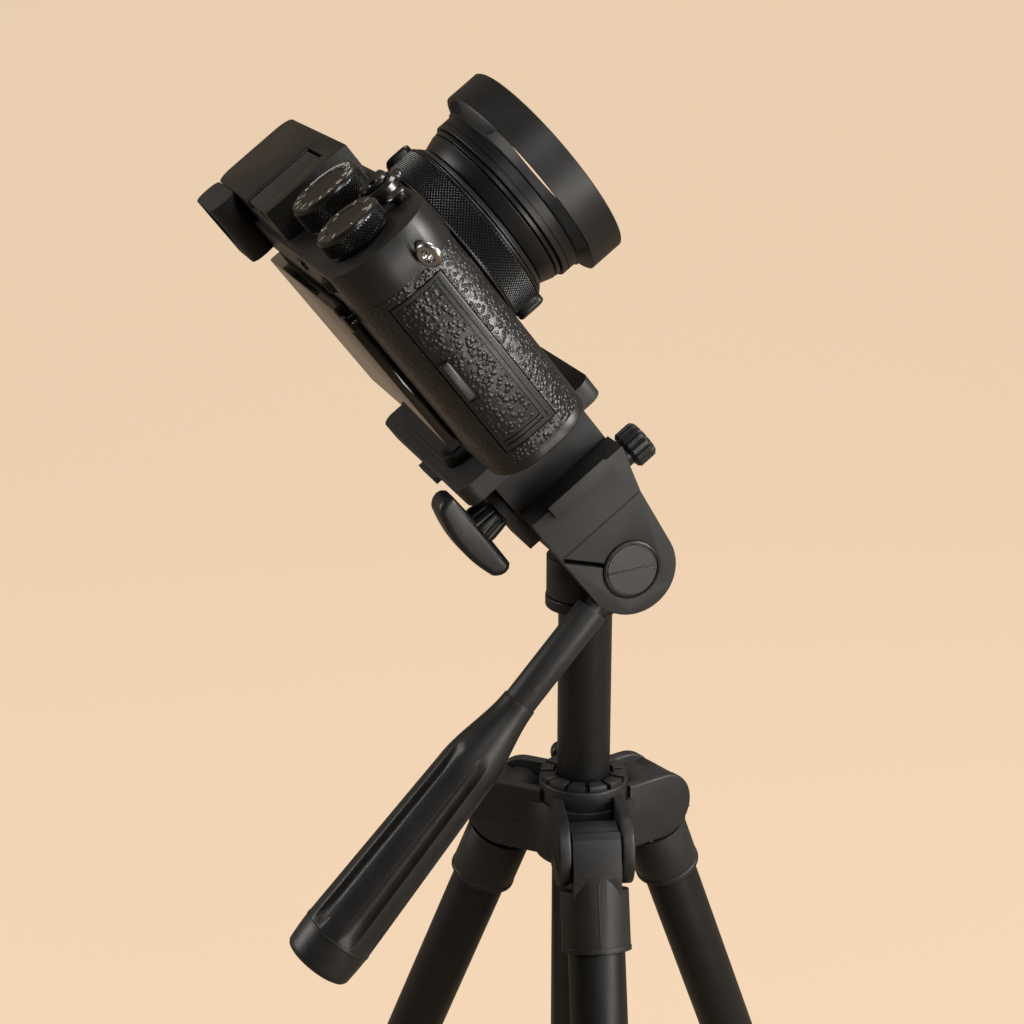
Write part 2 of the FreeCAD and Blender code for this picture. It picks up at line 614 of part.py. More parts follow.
def make_controls():
    add_tilted("shutter_dial", dial(DIAL_1, DIAL_1_R, DECK_W + 0.5, DECK_W + 8.1))
    add_tilted("exposure_dial", dial(DIAL_2, DIAL_2_R, DECK_W + 0.5, DECK_W + 6.1))
    u, v = RELEASE
    lever = fuse(
        rod(6.0, (u, v, DECK_W + 0.4), (u, v, DECK_W + 3.6)),
        rod(POWER_SHAFT_R, (u, v, DECK_W - 3.4), (u, v, DECK_W + 1.0)),
        block((u + 3.0, u + 7.4), (v - 2.0, v + 2.0), (DECK_W + 0.8, DECK_W + 3.4)),
    )
    well = rod(4.3, (u, v, DECK_W + 1.6), (u, v, DECK_W + 6.0))
    stem_way = rod(1.6 + FIT, (u, v, DECK_W - 4.0), (u, v, DECK_W + 4.0))
    add_tilted("power_lever", lever.cut(well).cut(stem_way))
    button = fuse(
        rod(4.0, (u, v, DECK_W + 3.0), (u, v, DECK_W + 4.8)),
        rod(1.6, (u, v, DECK_W - 2.0), (u, v, DECK_W + 3.4)),
    )
    add_tilted("shutter_button", button)
    u, v = FUNCTION
    cap = fuse(
        rod(2.7, (u, v, DECK_W + 1.0), (u, v, DECK_W + 2.2)),
        rod(FUNCTION_SHAFT_R, (u, v, DECK_W - 3.0), (u, v, DECK_W + 1.5)),
    )
    add_tilted("function_button", cap)
    wheel = rod(4.4, (*WHEEL_UV, WHEEL_W - 1.9), (*WHEEL_UV, WHEEL_W + 1.9))
    add_tilted("command_wheel", wheel.cut(rod(1.2 + FIT, (*WHEEL_UV, 110.0), (*WHEEL_UV, 125.0))))
    quick = block((-14.3, -11.2), (QUICK_V - 2.8, QUICK_V + 2.8), (QUICK_W - 1.4, QUICK_W + 1.4))
    quick = quick.makeFillet(1.3, [e for e in quick.Edges if abs(e.tangentAt(e.FirstParameter).x) > 0.9])
    add_tilted("quick_button", quick)
    stick = fuse(
        rod(2.6, (-16.6, STICK_V, STICK_W), (-15.4, STICK_V, STICK_W)),
        rod(1.4, (-15.6, STICK_V, STICK_W), (-12.0, STICK_V, STICK_W)),
    )
    add_tilted("joystick", stick)


def make_finder():
    """Rubber eyecup round the eyepiece, and the optical block behind the front window."""
    cup = rounded_plan((-20.6, -12.2), (EYE_V - 12.0, EYE_V + 13.0), 3.5, (EYE_W - 10.5, RAISED_W))
    hole = rod(8.0, (-23.0, EYE_V, EYE_W), (-15.5, EYE_V, EYE_W))
    lens_way = rod(EYE_R, (-16.0, EYE_V, EYE_W), (-8.0, EYE_V, EYE_W))
    casing = body_plan(-0.05, (90.0, DECK_W)).fuse(
        block((BODY_U[0] + 1.45, 20.0), (30.0, 74.2), (DECK_W - 1.0, RAISED_W + 1))
    )
    add_tilted("eyecup", cup.cut(hole).cut(lens_way).cut(casing))
    eyepiece = rod(EYE_R - 0.05, (-14.2, EYE_V, EYE_W), (-11.0, EYE_V, EYE_W))
    prism_block = block((-8.8, 9.0), (EYE_V - 6.5, EYE_V + 6.0), (EYE_W - 4.8, EYE_W + 4.8))
    link = rod(4.0, (-11.5, EYE_V, EYE_W), (-8.0, EYE_V, EYE_W))
    front = block((9.0, 14.2), (EYE_V - 8.0, EYE_V + 8.0), (EYE_W - 4.9, EYE_W + 4.9))
    add_tilted("finder_optics", fuse(eyepiece, link, prism_block, front))


# ---------------------------------------------------------------- lens
def make_lens():
    """Fixed lens: barrel and flange, two turning rings, glass, adapter ring and vented hood."""
    face = BODY_U[1]
    barrel = lens_turn(
        [
            (6.0, GLASS_R + 0.05),
            (6.0, MOUNT_R),
            (face - 1.2, MOUNT_R),
            (face - 1.2, FLANGE_R),
            (face + 2.6, FLANGE_R),
            (face + 2.6, 22.0),
            (face + 13.2, 22.0),
            (face + 13.2, 24.4),
            (face + 15.0, 23.2),
            (face + 15.0, 20.6),
            (face + 19.9, 20.6),
            (face + 19.9, GLASS_R + 0.05),
        ]
    )
    add_tilted("lens_barrel", barrel)
    ring = lens_turn(
        [
            (face + 3.5, 22.0 + FIT),
            (face + 3.5, RING_R),
            (face + 12.9, RING_R),
            (face + 12.9, 22.0 + FIT),
        ]
    )
    tabs = []
    for middle in (LENS_W - RING_R - 0.4, LENS_W + RING_R + 0.4):
        tab = block((face + 5.4, face + 12.9), (LENS_V - 4.5, LENS_V + 4.5), (middle - 1.4, middle + 1.4))
        tab.rotate(Vec(0, LENS_V, LENS_W), X, TAB_ANGLE)
        tabs.append(tab)
    add_tilted("aperture_ring", fuse(ring, *tabs))
    focus = lens_turn(
        [
            (face + 15.3, 20.6 + FIT),
            (face + 15.3, 23.0),
            (face + 19.6, 24.2),
            (face + 19.6, 20.6 + FIT),
        ]
    )
    add_tilted("focus_ring", focus)
    groups = ((14.0, 16.5), (6.0, 10.0), (-6.0, -1.0))
    glass = [rod(GLASS_R, (face + a, LENS_V, LENS_W), (face + b, LENS_V, LENS_W)) for a, b in groups]
    add_tilted("lens_elements", Part.makeCompound(glass))
    adapter = lens_turn(
        [
            (face + 20.0, 20.7),
            (face + 20.0, 24.3),
            (face + 21.3, 24.3),
            (face + 21.3, HOOD_SEAT_R),
            (face + 26.0, HOOD_SEAT_R),
            (face + 26.0, 20.7),
        ]
    )
    add_tilted("hood_adapter", adapter)
    add_tilted("hood", hood(face))


def hood(face):
    """Vented hood: a clamp band and a wide outer band, joined by three struts."""
    body = lens_turn(
        [
            (face + 21.5, HOOD_SEAT_R + FIT),
            (face + 21.5, 25.2),
            (face + 26.3, 25.2),
            (face + 28.6, HOOD_R),
            (face + 38.5, HOOD_R),
            (face + 38.5, HOOD_R - 1.2),
            (face + 28.9, HOOD_R - 1.2),
            (face + 26.5, HOOD_SEAT_R + FIT),
        ]
    )
    for index in range(3):
        slot = block(
            (face + 26.5, face + 28.9),
            (LENS_V + 5.0, LENS_V + 40.0),
            (LENS_W - 19.0, LENS_W + 19.0),
        )
        slot.rotate(Vec(0, LENS_V, LENS_W), X, 120.0 * index + HOOD_SLOT_ANGLE)
        body = body.cut(slot)
    return body


def export_all():
    """Move the origin to the bottom centre of the whole box and write one file per piece."""
    box = Part.makeCompound(list(NODES.values())).optimalBoundingBox(False)
    shift = Vec(-(box.XMin + box.XMax) / 2, -(box.YMin + box.YMax) / 2, -box.ZMin)
    os.makedirs("parts", exist_ok=True)
    for name, shape in NODES.items():
        shape.translate(shift)
        shape.exportStep("parts/%s.step" % name)
    return shift


make_tripod()
make_neck()
make_tilt_block()
make_handle()
make_head_knobs()
make_platform()
make_casing()
make_top_cover()
make_controls()
make_finder()
make_lens()
SHIFT = export_all()
print("pieces", len(NODES), "origin shift", SHIFT)
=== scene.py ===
# %% [markdown]
# # A compact camera on a small tripod
# A compact camera with a fixed lens stands on a three-way head and a small folding tripod.
# The engineering model gives every piece's place and every joint. This script loads it, gives
# each piece the rounded edges, knurling, flutes and finishes of the real thing, and lights it.
# Everything is made in code: turned profiles, extruded outlines and softened castings.

# %% Load the frame
import json
import math
import bmesh
import bpy
from mathutils import Matrix, Vector


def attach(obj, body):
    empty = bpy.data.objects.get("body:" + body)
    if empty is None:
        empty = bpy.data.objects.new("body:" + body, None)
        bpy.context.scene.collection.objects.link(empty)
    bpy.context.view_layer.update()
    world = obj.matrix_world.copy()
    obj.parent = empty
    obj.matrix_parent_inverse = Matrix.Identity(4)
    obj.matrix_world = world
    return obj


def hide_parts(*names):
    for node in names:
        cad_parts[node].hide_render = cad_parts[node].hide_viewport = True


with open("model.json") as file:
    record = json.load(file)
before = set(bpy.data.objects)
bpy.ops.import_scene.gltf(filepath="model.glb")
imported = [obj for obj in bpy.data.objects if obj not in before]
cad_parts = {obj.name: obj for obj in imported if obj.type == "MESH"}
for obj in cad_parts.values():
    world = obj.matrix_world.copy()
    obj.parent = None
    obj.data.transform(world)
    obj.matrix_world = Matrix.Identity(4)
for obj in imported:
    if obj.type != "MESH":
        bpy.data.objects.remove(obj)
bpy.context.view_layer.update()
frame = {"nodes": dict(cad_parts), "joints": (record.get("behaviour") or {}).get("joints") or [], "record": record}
nodes = frame["nodes"]
record = frame["record"]
joints = {joint["name"]: joint for joint in frame["joints"]}
body_of = {node: body for body, members in record["behaviour"]["bodies"].items() for node in members}
slot_of = {row["node"]: row["material_slot"] for row in record["subparts"]}
scene = bpy.context.scene

# %% [markdown]
# The camera is tilted up on its head, which makes its numbers awkward. A matrix from its joints
# fixes that: it takes millimetres measured level with the camera (u forward, v to its left,
# w up, from the tilt axis) to the tilted place in the room. The same trick serves each leg.

# %% Two handy coordinate frames
MM = 0.001
forward = Vector(joints["aperture_turn"]["axis"])
upward = Vector(joints["shutter_dial_turn"]["axis"])
pivot = Vector(joints["tilt"]["pos_m"])


def frame_from(origin, x_axis, z_axis):
    """Matrix from local millimetres to the room, with the given X and Z directions."""
    y_axis = z_axis.cross(x_axis).normalized()
    turn = Matrix((x_axis.normalized(), y_axis, x_axis.cross(y_axis).normalized())).transposed()
    return Matrix.Translation(origin) @ turn.to_4x4() @ Matrix.Scale(MM, 4)


LEVEL = frame_from(pivot, forward, upward)
UPRIGHT = Matrix.Rotation(math.radians(-90), 4, "Y")


def level_point(joint_name):
    """Place of a joint in the camera's level millimetres."""
    return LEVEL.inverted() @ Vector(joints[joint_name]["pos_m"])


def level_box(node):
    """Lowest and highest level coordinates of a piece of the engineering model."""
    points = [LEVEL.inverted() @ vertex.co for vertex in nodes[node].data.vertices]
    low = Vector([min(p[k] for p in points) for k in range(3)])
    high = Vector([max(p[k] for p in points) for k in range(3)])
    return low, high


def standing_at(point, height=0.0):
    """Local X points up along the camera's w from a level point."""
    return LEVEL @ Matrix.Translation((point.x, point.y, height)) @ UPRIGHT


print("tilt axis", tuple(round(c, 4) for c in pivot))
print("lens at", tuple(round(c, 2) for c in level_point("aperture_turn")))

# %% [markdown]
# ## Finishes
# Almost everything here is black, so the finishes differ in sheen and texture, not in colour.
# Each effect is a small shader group that is built once: mottling of colour and roughness,
# the fine grain of moulded plastic, leather pebbles and scuffs. A material mixes them.

# %% Node group helpers
def new_group(name, inputs, outputs):
    group = bpy.data.node_groups.new(name, "ShaderNodeTree")
    for label, kind, value in inputs:
        socket = group.interface.new_socket(label, in_out="INPUT", socket_type="NodeSocket" + kind)
        socket.default_value = value
    for label, kind in outputs:
        group.interface.new_socket(label, in_out="OUTPUT", socket_type="NodeSocket" + kind)
    start = group.nodes.new("NodeGroupInput")
    end = group.nodes.new("NodeGroupOutput")
    return group, start.outputs, end.inputs


def add_node(tree, kind, links=(), **settings):
    """Add one node, set its properties and join its inputs to (input, output) links."""
    node = tree.nodes.new("ShaderNode" + kind)
    for key, value in settings.items():
        setattr(node, key, value)
    for socket, source in links:
        if hasattr(source, "is_linked"):
            tree.links.new(source, node.inputs[socket])
        else:
            node.inputs[socket].default_value = source
    return node


def millimetres(tree):
    """Object coordinates scaled so that one unit is a millimetre."""
    coordinates = add_node(tree, "TexCoord")
    scaled = add_node(tree, "VectorMath", [(0, coordinates.outputs["Object"]), (1, (1000.0,) * 3)],
                      operation="MULTIPLY")
    return scaled.outputs[0]


# %% Mottle: slow change of colour and roughness
mottle, m_in, m_out = new_group(
    "Mottle",
    [("Colour A", "Color", (0.03, 0.03, 0.03, 1)), ("Colour B", "Color", (0.04, 0.04, 0.04, 1)),
     ("Frequency", "Float", 0.2), ("Rough low", "Float", 0.4), ("Rough high", "Float", 0.5)],
    [("Color", "Color"), ("Roughness", "Float")],
)
spots = add_node(mottle, "TexNoise", [("Vector", millimetres(mottle)), ("Scale", m_in["Frequency"]),
                                      ("Detail", 5.0), ("Roughness", 0.6)])
tint = add_node(mottle, "Mix", [(0, spots.outputs["Fac"]), (6, m_in["Colour A"]), (7, m_in["Colour B"])],
                data_type="RGBA")
sheen_spread = add_node(mottle, "MapRange", [("Value", spots.outputs["Fac"]), ("From Min", 0.3),
                                             ("From Max", 0.7),
                                             ("To Min", m_in["Rough low"]), ("To Max", m_in["Rough high"])])
mottle.links.new(tint.outputs[2], m_out["Color"])
mottle.links.new(sheen_spread.outputs[0], m_out["Roughness"])

# %% Moulded grain: the spark-eroded texture of tool-made plastic
grain, g_in, g_out = new_group("Moulded grain", [("Frequency", "Float", 4.0)], [("Height", "Float")])
pits = add_node(grain, "TexNoise", [("Vector", millimetres(grain)), ("Scale", g_in["Frequency"]),
                                    ("Detail", 3.0),
                                    ("Roughness", 0.7)])
grain.links.new(pits.outputs["Fac"], g_out["Height"])

# %% Pebbles: leatherette with rounded cells parted by thin creases, with painted shade in the creases
pebbles, p_in, p_out = new_group("Leather pebbles", [("Frequency", "Float", 1.0)],
                                 [("Height", "Float"), ("Crease shade", "Float")])
wander = add_node(pebbles, "TexNoise", [("Vector", millimetres(pebbles)), ("Scale", 0.9), ("Detail", 2.0)])
bent = add_node(pebbles, "VectorMath", [(0, wander.outputs["Color"]), (1, (0.5,) * 3),
                                        (2, millimetres(pebbles))],
                operation="MULTIPLY_ADD")
cells = add_node(pebbles, "TexVoronoi", [("Vector", bent.outputs[0]), ("Scale", p_in["Frequency"]),
                                         ("Randomness", 1.0)],
                 feature="F1")
rise = add_node(pebbles, "MapRange", [("Value", cells.outputs["Distance"]), ("From Min", 0.66),
                                      ("From Max", 0.05)],
                interpolation_type="SMOOTHSTEP")
# Mask of the creases between the cells, used to paint shade into the colour there
crease_shade = add_node(pebbles, "MapRange", [("Value", cells.outputs["Distance"]), ("From Min", 0.55),
                                        ("From Max", 0.80)])
pebbles.links.new(rise.outputs[0], p_out["Height"])
pebbles.links.new(crease_shade.outputs[0], p_out["Crease shade"])

# %% Scuffs: fine scratches from handling
scuffs, s_in, s_out = new_group("Scuffs", [("Frequency", "Float", 0.5), ("Amount", "Float", 0.5)],
                                [("Mask", "Float")])
stretched = add_node(scuffs, "Mapping", [("Vector", millimetres(scuffs)), ("Rotation", (0.4, 0.7, 0.2)),
                                         ("Scale", (0.15, 3.0, 1.0))])
lines = add_node(scuffs, "TexNoise", [("Vector", stretched.outputs[0]), ("Scale", s_in["Frequency"]),
                                      ("Detail", 6.0),
                                      ("Roughness", 0.75)])
thin = add_node(scuffs, "MapRange", [("Value", lines.outputs["Fac"]), ("From Min", 0.62), ("From Max", 0.72)])
share = add_node(scuffs, "Math", [(0, thin.outputs[0]), (1, s_in["Amount"])], operation="MULTIPLY")
scuffs.links.new(share.outputs[0], s_out["Mask"])


# %% Build a finish from the groups
def new_finish(name, dark, light, rough, grain_size=None, grain_depth=0.0, metallic=0.0, coat=0.0, scuff=0.0,
               frequency=0.15, pebble=None, transmission=0.0, coat_rough=0.1, gloss=0.4):
    material = bpy.data.materials.new(name)
    material.use_nodes = True
    tree = material.node_tree
    shader = tree.nodes["Principled BSDF"]
    shader.inputs["Metallic"].default_value = metallic
    shader.inputs["Coat Weight"].default_value = coat
    shader.inputs["Coat Roughness"].default_value = coat_rough
    shader.inputs["Transmission Weight"].default_value = transmission
    shader.inputs["Specular IOR Level"].default_value = gloss
    base = add_node(tree, "Group", node_tree=mottle)
    for socket, value in (("Colour A", (*dark, 1)), ("Colour B", (*light, 1)), ("Frequency", frequency),
                          ("Rough low", rough[0]), ("Rough high", rough[1])):
        base.inputs[socket].default_value = value
    colour, roughness, height = base.outputs["Color"], base.outputs["Roughness"], None
    if scuff:
        marks = add_node(tree, "Group", node_tree=scuffs)
        marks.inputs["Amount"].default_value = scuff
        worn = add_node(tree, "Mix", [(0, marks.outputs["Mask"]), (6, colour), (7, (0.22, 0.21, 0.2, 1))],
                        data_type="RGBA")
        colour = worn.outputs[2]
    if pebble:
        cells_node = add_node(tree, "Group", node_tree=pebbles)
        cells_node.inputs["Frequency"].default_value = 1.0 / pebble
        height = cells_node.outputs["Height"]
        # Painted shade: the colour is darkened to near black in the creases between the pebbles
        crease_shaded = add_node(tree, "Mix", [(0, cells_node.outputs["Crease shade"]), (6, colour),
                                         (7, (0.004, 0.004, 0.004, 1))],
                           data_type="RGBA")
        colour = crease_shaded.outputs[2]
    elif grain_size:
        pits_node = add_node(tree, "Group", node_tree=grain)
        pits_node.inputs["Frequency"].default_value = 1.0 / grain_size
        height = pits_node.outputs["Height"]
    if height:
        bump = add_node(tree, "Bump", [("Height", height), ("Strength", 1.0), ("Distance", grain_depth * MM)])
        tree.links.new(bump.outputs[0], shader.inputs["Normal"])
    tree.links.new(colour, shader.inputs["Base Color"])
    tree.links.new(roughness, shader.inputs["Roughness"])
    return material


# %% The finishes of the real pieces
def grey(value, warm=0.0):
    return (value + warm, value, max(value - warm, 0.0))


finishes = {
    "crown_plastic": new_finish("Moulded crown plastic", grey(0.009), grey(0.014), (0.42, 0.52), 0.35,
                                0.05, scuff=0.10),
    "leg_paint": new_finish("Satin leg tube", grey(0.010), grey(0.014), (0.34, 0.40), 0.5, 0.01,
                            metallic=0.35),
    "lower_leg_paint": new_finish("Satin lower tube", grey(0.016), grey(0.022), (0.30, 0.38), 0.5, 0.01,
                                  metallic=0.35),
    "foot_rubber": new_finish("Foot rubber", grey(0.012), grey(0.02), (0.7, 0.8), 0.4, 0.06),
    "column_paint": new_finish("Satin column", grey(0.010), grey(0.014), (0.36, 0.44), 0.5, 0.01,
                               metallic=0.35, scuff=0.15),
    "head_plastic": new_finish("Moulded head plastic", grey(0.009), grey(0.013), (0.48, 0.60), 0.3, 0.05,
                               scuff=0.06),
    "knob_plastic": new_finish("Knob plastic", grey(0.010), grey(0.016), (0.34, 0.44), 0.5, 0.02),
    "pin_plastic": new_finish("Scuffed cap", grey(0.006), grey(0.011), (0.24, 0.40), 0.4, 0.03, scuff=0.40),
    "handle_paint": new_finish("Satin handle rod", grey(0.014), grey(0.02), (0.42, 0.5), 0.3, 0.03,
                               metallic=0.2, scuff=0.15),
    "grip_plastic": new_finish("Grip plastic", grey(0.008), grey(0.013), (0.36, 0.46), 0.3, 0.03, scuff=0.12),
    "plate_metal": new_finish("Black anodised plate", grey(0.014), grey(0.02), (0.35, 0.45), 0.4, 0.02,
                              metallic=0.6),
    "pad_rubber": new_finish("Pad rubber", grey(0.012), grey(0.018), (0.75, 0.85), 0.4, 0.05),
    "bright_steel": new_finish("Polished steel", grey(0.36), grey(0.42), (0.26, 0.34), 0.6, 0.01,
                               metallic=1.0, gloss=0.5),
    "camera_paint": new_finish("Semi-matt camera paint", grey(0.007), grey(0.010), (0.34, 0.42), 0.22,
                               0.015, scuff=0.05),
    "body_plastic": new_finish("Body plastic", grey(0.010), grey(0.014), (0.5, 0.6), 0.3, 0.03),
    "camera_leather": new_finish("Pebbled leatherette", grey(0.006), grey(0.009), (0.33, 0.42),
                                 grain_depth=0.24, pebble=1.15, gloss=0.5),
    "door_plastic": new_finish("Door plastic", grey(0.010), grey(0.014), (0.36, 0.46), 0.3, 0.02),
    "battery_wrap": new_finish("Battery film", grey(0.06), grey(0.08), (0.5, 0.6), 0.4, 0.02),
    "circuit_board": new_finish("Solder mask", (0.01, 0.09, 0.04), (0.02, 0.13, 0.06), (0.3, 0.4), 0.5, 0.02),
    "screen_glass": new_finish("Screen glass", grey(0.006), grey(0.009), (0.05, 0.09), coat=0.5,
                               coat_rough=0.03),
    "control_metal": new_finish("Control metal", grey(0.010), grey(0.015), (0.20, 0.28), 0.5, 0.01,
                                metallic=0.3, gloss=0.6),
    "button_gloss": new_finish("Gloss button", grey(0.005), grey(0.008), (0.2, 0.28), coat=0.25,
                               coat_rough=0.12),
    "eyecup_rubber": new_finish("Eyecup rubber", grey(0.008), grey(0.012), (0.55, 0.65), 0.4, 0.04),
    "optical_glass": new_finish("Coated glass", (0.02, 0.03, 0.05), (0.04, 0.03, 0.06), (0.02, 0.05),
                                coat=1.0, coat_rough=0.02),
    "lens_metal": new_finish("Anodised lens metal", grey(0.012), grey(0.017), (0.30, 0.38), 0.4, 0.01,
                             metallic=0.3),
    "hood_paint": new_finish("Semi-matt hood paint", grey(0.008), grey(0.011), (0.38, 0.46), 0.2, 0.015,
                             metallic=0.1),
}
dial_bronze = new_finish("Dark dial face", (0.016, 0.012, 0.009), (0.024, 0.018, 0.013), (0.42, 0.5), 0.2,
                         0.02, metallic=0.4)
white_marks = new_finish("White marks", grey(0.55), grey(0.68), (0.5, 0.6), 0.5, 0.01)
# Painted shade: a near-black finish for the microphone holes and the head seam, where the real ones are dark from
# shade
recess_shade_black = new_finish("Painted recess shade", grey(0.003), grey(0.005), (0.7, 0.8), 0.4, 0.02)
print("finishes", len(finishes) + 3)

# %% [markdown]
# ## Making shapes
# Three ways of making cover nearly every piece. A turned piece is a profile swept round an
# axis, with flutes pressed into it where fingers grip. An extruded piece is an outline with
# arcs at its corners and a bevel round its rims. A casting is a copy of the engineering shape
# with its hard edges bevelled, because the real one came out of a mould or off a machine
# with small radii, and those thin bright lines are what makes a black object readable.

# %% Helpers that put a mesh into the scene
CREASE = math.radians(34)


def place_piece(name, mesh_data, place, finish, body):
    mesh_data.transform(place)
    bmesh.ops.recalc_face_normals(mesh_data, faces=mesh_data.faces)
    for face in mesh_data.faces:
        face.smooth = True
    for edge in mesh_data.edges:
        edge.smooth = len(edge.link_faces) == 2 and edge.calc_face_angle() < CREASE
    mesh = bpy.data.meshes.new(name)
    mesh_data.to_mesh(mesh)
    mesh_data.free()
    piece = bpy.data.objects.new(name, mesh)
    scene.collection.objects.link(piece)
    mesh.materials.append(finish)
    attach(piece, body)
    return piece


def stand_for(node, mesh_data, place=None, finish=None):
    """The detailed form of a piece, in place of its plain engineering solid."""
    slot = slot_of[node]
    place = Matrix.Identity(4) if place is None else place
    piece = place_piece(node + "_form", mesh_data, place, finish or finishes[slot], body_of[node])
    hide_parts(node)
    return piece


def add_trim(name, mesh_data, place, host, finish=None):
    """A small part that is fixed to a host piece."""
    slot = slot_of[host]
    return place_piece(name, mesh_data, place, finish or finishes[slot], body_of[host])


# %% Outlines with rounded corners
def round_corners(points, radius, steps=5):
    """Closed 2-D outline with an arc at each corner; radius is a number or one per corner."""
    radii = radius if isinstance(radius, (list, tuple)) else [radius] * len(points)
    outline = []
    for index, corner in enumerate(points):
        corner = Vector(corner)
        before = (Vector(points[index - 1]) - corner).normalized()
        after = (Vector(points[(index + 1) % len(points)]) - corner).normalized()
        half = before.angle(after) / 2
        if radii[index] <= 0 or half > math.radians(89):
            outline.append(tuple(corner))
            continue
        reach = radii[index] / math.tan(half)
        centre = corner + (before + after).normalized() * (radii[index] / math.sin(half))
        start = corner + before * reach - centre
        sweep = start.angle_signed(corner + after * reach - centre)
        for step in range(steps + 1):
            arm = start.copy()
            arm.rotate(Matrix.Rotation(-sweep * step / steps, 2))
            outline.append(tuple(centre + arm))
    return outline


# %% Turned pieces
def turned(profile, steps=96):
    """Turn a closed outline of (along X, radius) points about X."""
    made = bmesh.new()
    rings = []
    for x, radius in profile:
        ring = []
        for step in range(steps):
            angle = 2 * math.pi * step / steps
            ring.append(made.verts.new((x, radius * math.cos(angle), radius * math.sin(angle))))
        rings.append(ring)
    for ring, following in zip(rings, rings[1:] + rings[:1]):
        for step in range(steps):
            after = (step + 1) % steps
            made.faces.new((ring[step], ring[after], following[after], following[step]))
    bmesh.ops.remove_doubles(made, verts=made.verts, dist=1e-5)
    return made


# %% Diamond knurling
def knurl(radius, depth, start, end, around, rows):
    """A band of small pyramids; the valleys run along both diagonals."""
    made = bmesh.new()
    grid = []
    for row in range(rows + 1):
        x = start + (end - start) * row / rows
        line = []
        for column in range(2 * around):
            angle = math.pi * column / around
            rim = row in (0, rows)
            reach = radius - (depth if (row + column) % 2 == 0 or rim else 0.0)
            line.append(made.verts.new((x, reach * math.cos(angle), reach * math.sin(angle))))
        grid.append(line)
    for row in range(rows):
        for column in range(2 * around):
            after = (column + 1) % (2 * around)
            a, b = grid[row][column], grid[row][after]
            c, d = grid[row + 1][after], grid[row + 1][column]
            if (row + column) % 2 == 0:
                made.faces.new((a, b, c))
                made.faces.new((a, c, d))
            else:
                made.faces.new((a, b, d))
                made.faces.new((b, c, d))
    return made


def knurled_drum(radius, depth, start, end, pitch, inner):
    """Knurled band closed by two flat rings down to an inner radius."""
    around = int(2 * math.pi * radius / pitch)
    rows = max(2, 2 * round((end - start) / pitch))
    made = knurl(radius, depth, start, end, around, rows)
    rims = [edge for edge in made.edges if len(edge.link_faces) == 1]
    for x in (start, end):
        loop = [edge for edge in rims if all(abs(vert.co.x - x) < 1e-4 for vert in edge.verts)]
        grown = bmesh.ops.extrude_edge_only(made, edges=loop)
        for vert in [item for item in grown["geom"] if isinstance(item, bmesh.types.BMVert)]:
            side = Vector((vert.co.y, vert.co.z)).normalized() * inner
            vert.co.y, vert.co.z = side
    open_edges = [edge for edge in made.edges if len(edge.link_faces) == 1]
    bmesh.ops.bridge_loops(made, edges=open_edges)
    return made


# %% Extruded pieces and castings
def extruded(outline, low, high, bevel=0.3, segments=2):
    """Outline in X and Y, raised from low to high in Z, with bevelled rims."""
    made = bmesh.new()
    face = made.faces.new([made.verts.new((x, y, low)) for x, y in outline])
    raised = bmesh.ops.extrude_face_region(made, geom=[face])
    top = [item for item in raised["geom"] if isinstance(item, bmesh.types.BMVert)]
    bmesh.ops.translate(made, verts=top, vec=(0, 0, high - low))
    if bevel:
        rims = [edge for edge in made.edges if abs(edge.verts[0].co.z - edge.verts[1].co.z) < 1e-6]
        bmesh.ops.bevel(made, geom=rims, offset=bevel, segments=segments, profile=0.5, affect="EDGES",
                        clamp_overlap=True)
    return made


def bar(x, y, z, corner=0.5, bevel=0.3):
    """Small block from three (low, high) pairs, with rounded plan corners."""
    plan = [(x[0], y[0]), (x[1], y[0]), (x[1], y[1]), (x[0], y[1])]
    return extruded(round_corners(plan, corner), z[0], z[1], bevel)


def casting(node, width, segments=2, sharpest=28):
    """Copy of the engineering shape with its hard edges rounded by a width in millimetres."""
    made = bmesh.new()
    made.from_mesh(nodes[node].data)
    bmesh.ops.remove_doubles(made, verts=made.verts, dist=3e-6)
    bmesh.ops.dissolve_limit(made, angle_limit=math.radians(0.6), verts=made.verts, edges=made.edges)
    hard = [edge for edge in made.edges if len(edge.link_faces) == 2
            and edge.calc_face_angle() > math.radians(sharpest)]
    bmesh.ops.bevel(made, geom=hard, offset=width * MM, segments=segments, profile=0.5, affect="EDGES",
                    clamp_overlap=True)
    return made


def joined(parts):
    """One mesh from several (mesh, placing matrix) pairs."""
    whole = bmesh.new()
    for part, place in parts:
        part.transform(place)
        carrier = bpy.data.meshes.new("carrier")
        part.to_mesh(carrier)
        part.free()
        whole.from_mesh(carrier)
        bpy.data.meshes.remove(carrier)
    return whole


def cut_away(base, tools):
    """Exact boolean difference of a base mesh and cutting meshes."""
    made = []
    for part in (base, tools):
        mesh = bpy.data.meshes.new("blank")
        bmesh.ops.recalc_face_normals(part, faces=part.faces)
        part.to_mesh(mesh)
        part.free()
        blank = bpy.data.objects.new("blank", mesh)
        scene.collection.objects.link(blank)
        made.append(blank)
    body, cutter = made
    saw = body.modifiers.new("saw", "BOOLEAN")
    saw.object = cutter
    saw.operation = "DIFFERENCE"
    saw.solver = "EXACT"
    depsgraph = bpy.context.evaluated_depsgraph_get()
    result = bmesh.new()
    result.from_mesh(bpy.data.meshes.new_from_object(body.evaluated_get(depsgraph)))
    for blank in made:
        bpy.data.objects.remove(blank)
    return result


HERE = Matrix.Identity(4)

# %% [markdown]
# ## The tripod
# The legs are plain tubes with moulded fittings. Every leg is the same, so one loop makes
# all three, each in its own frame that hangs from the hinge pin.

# %% A frame for each leg
LEG_COUNT = sum(name.startswith("leg_fold") for name in joints)


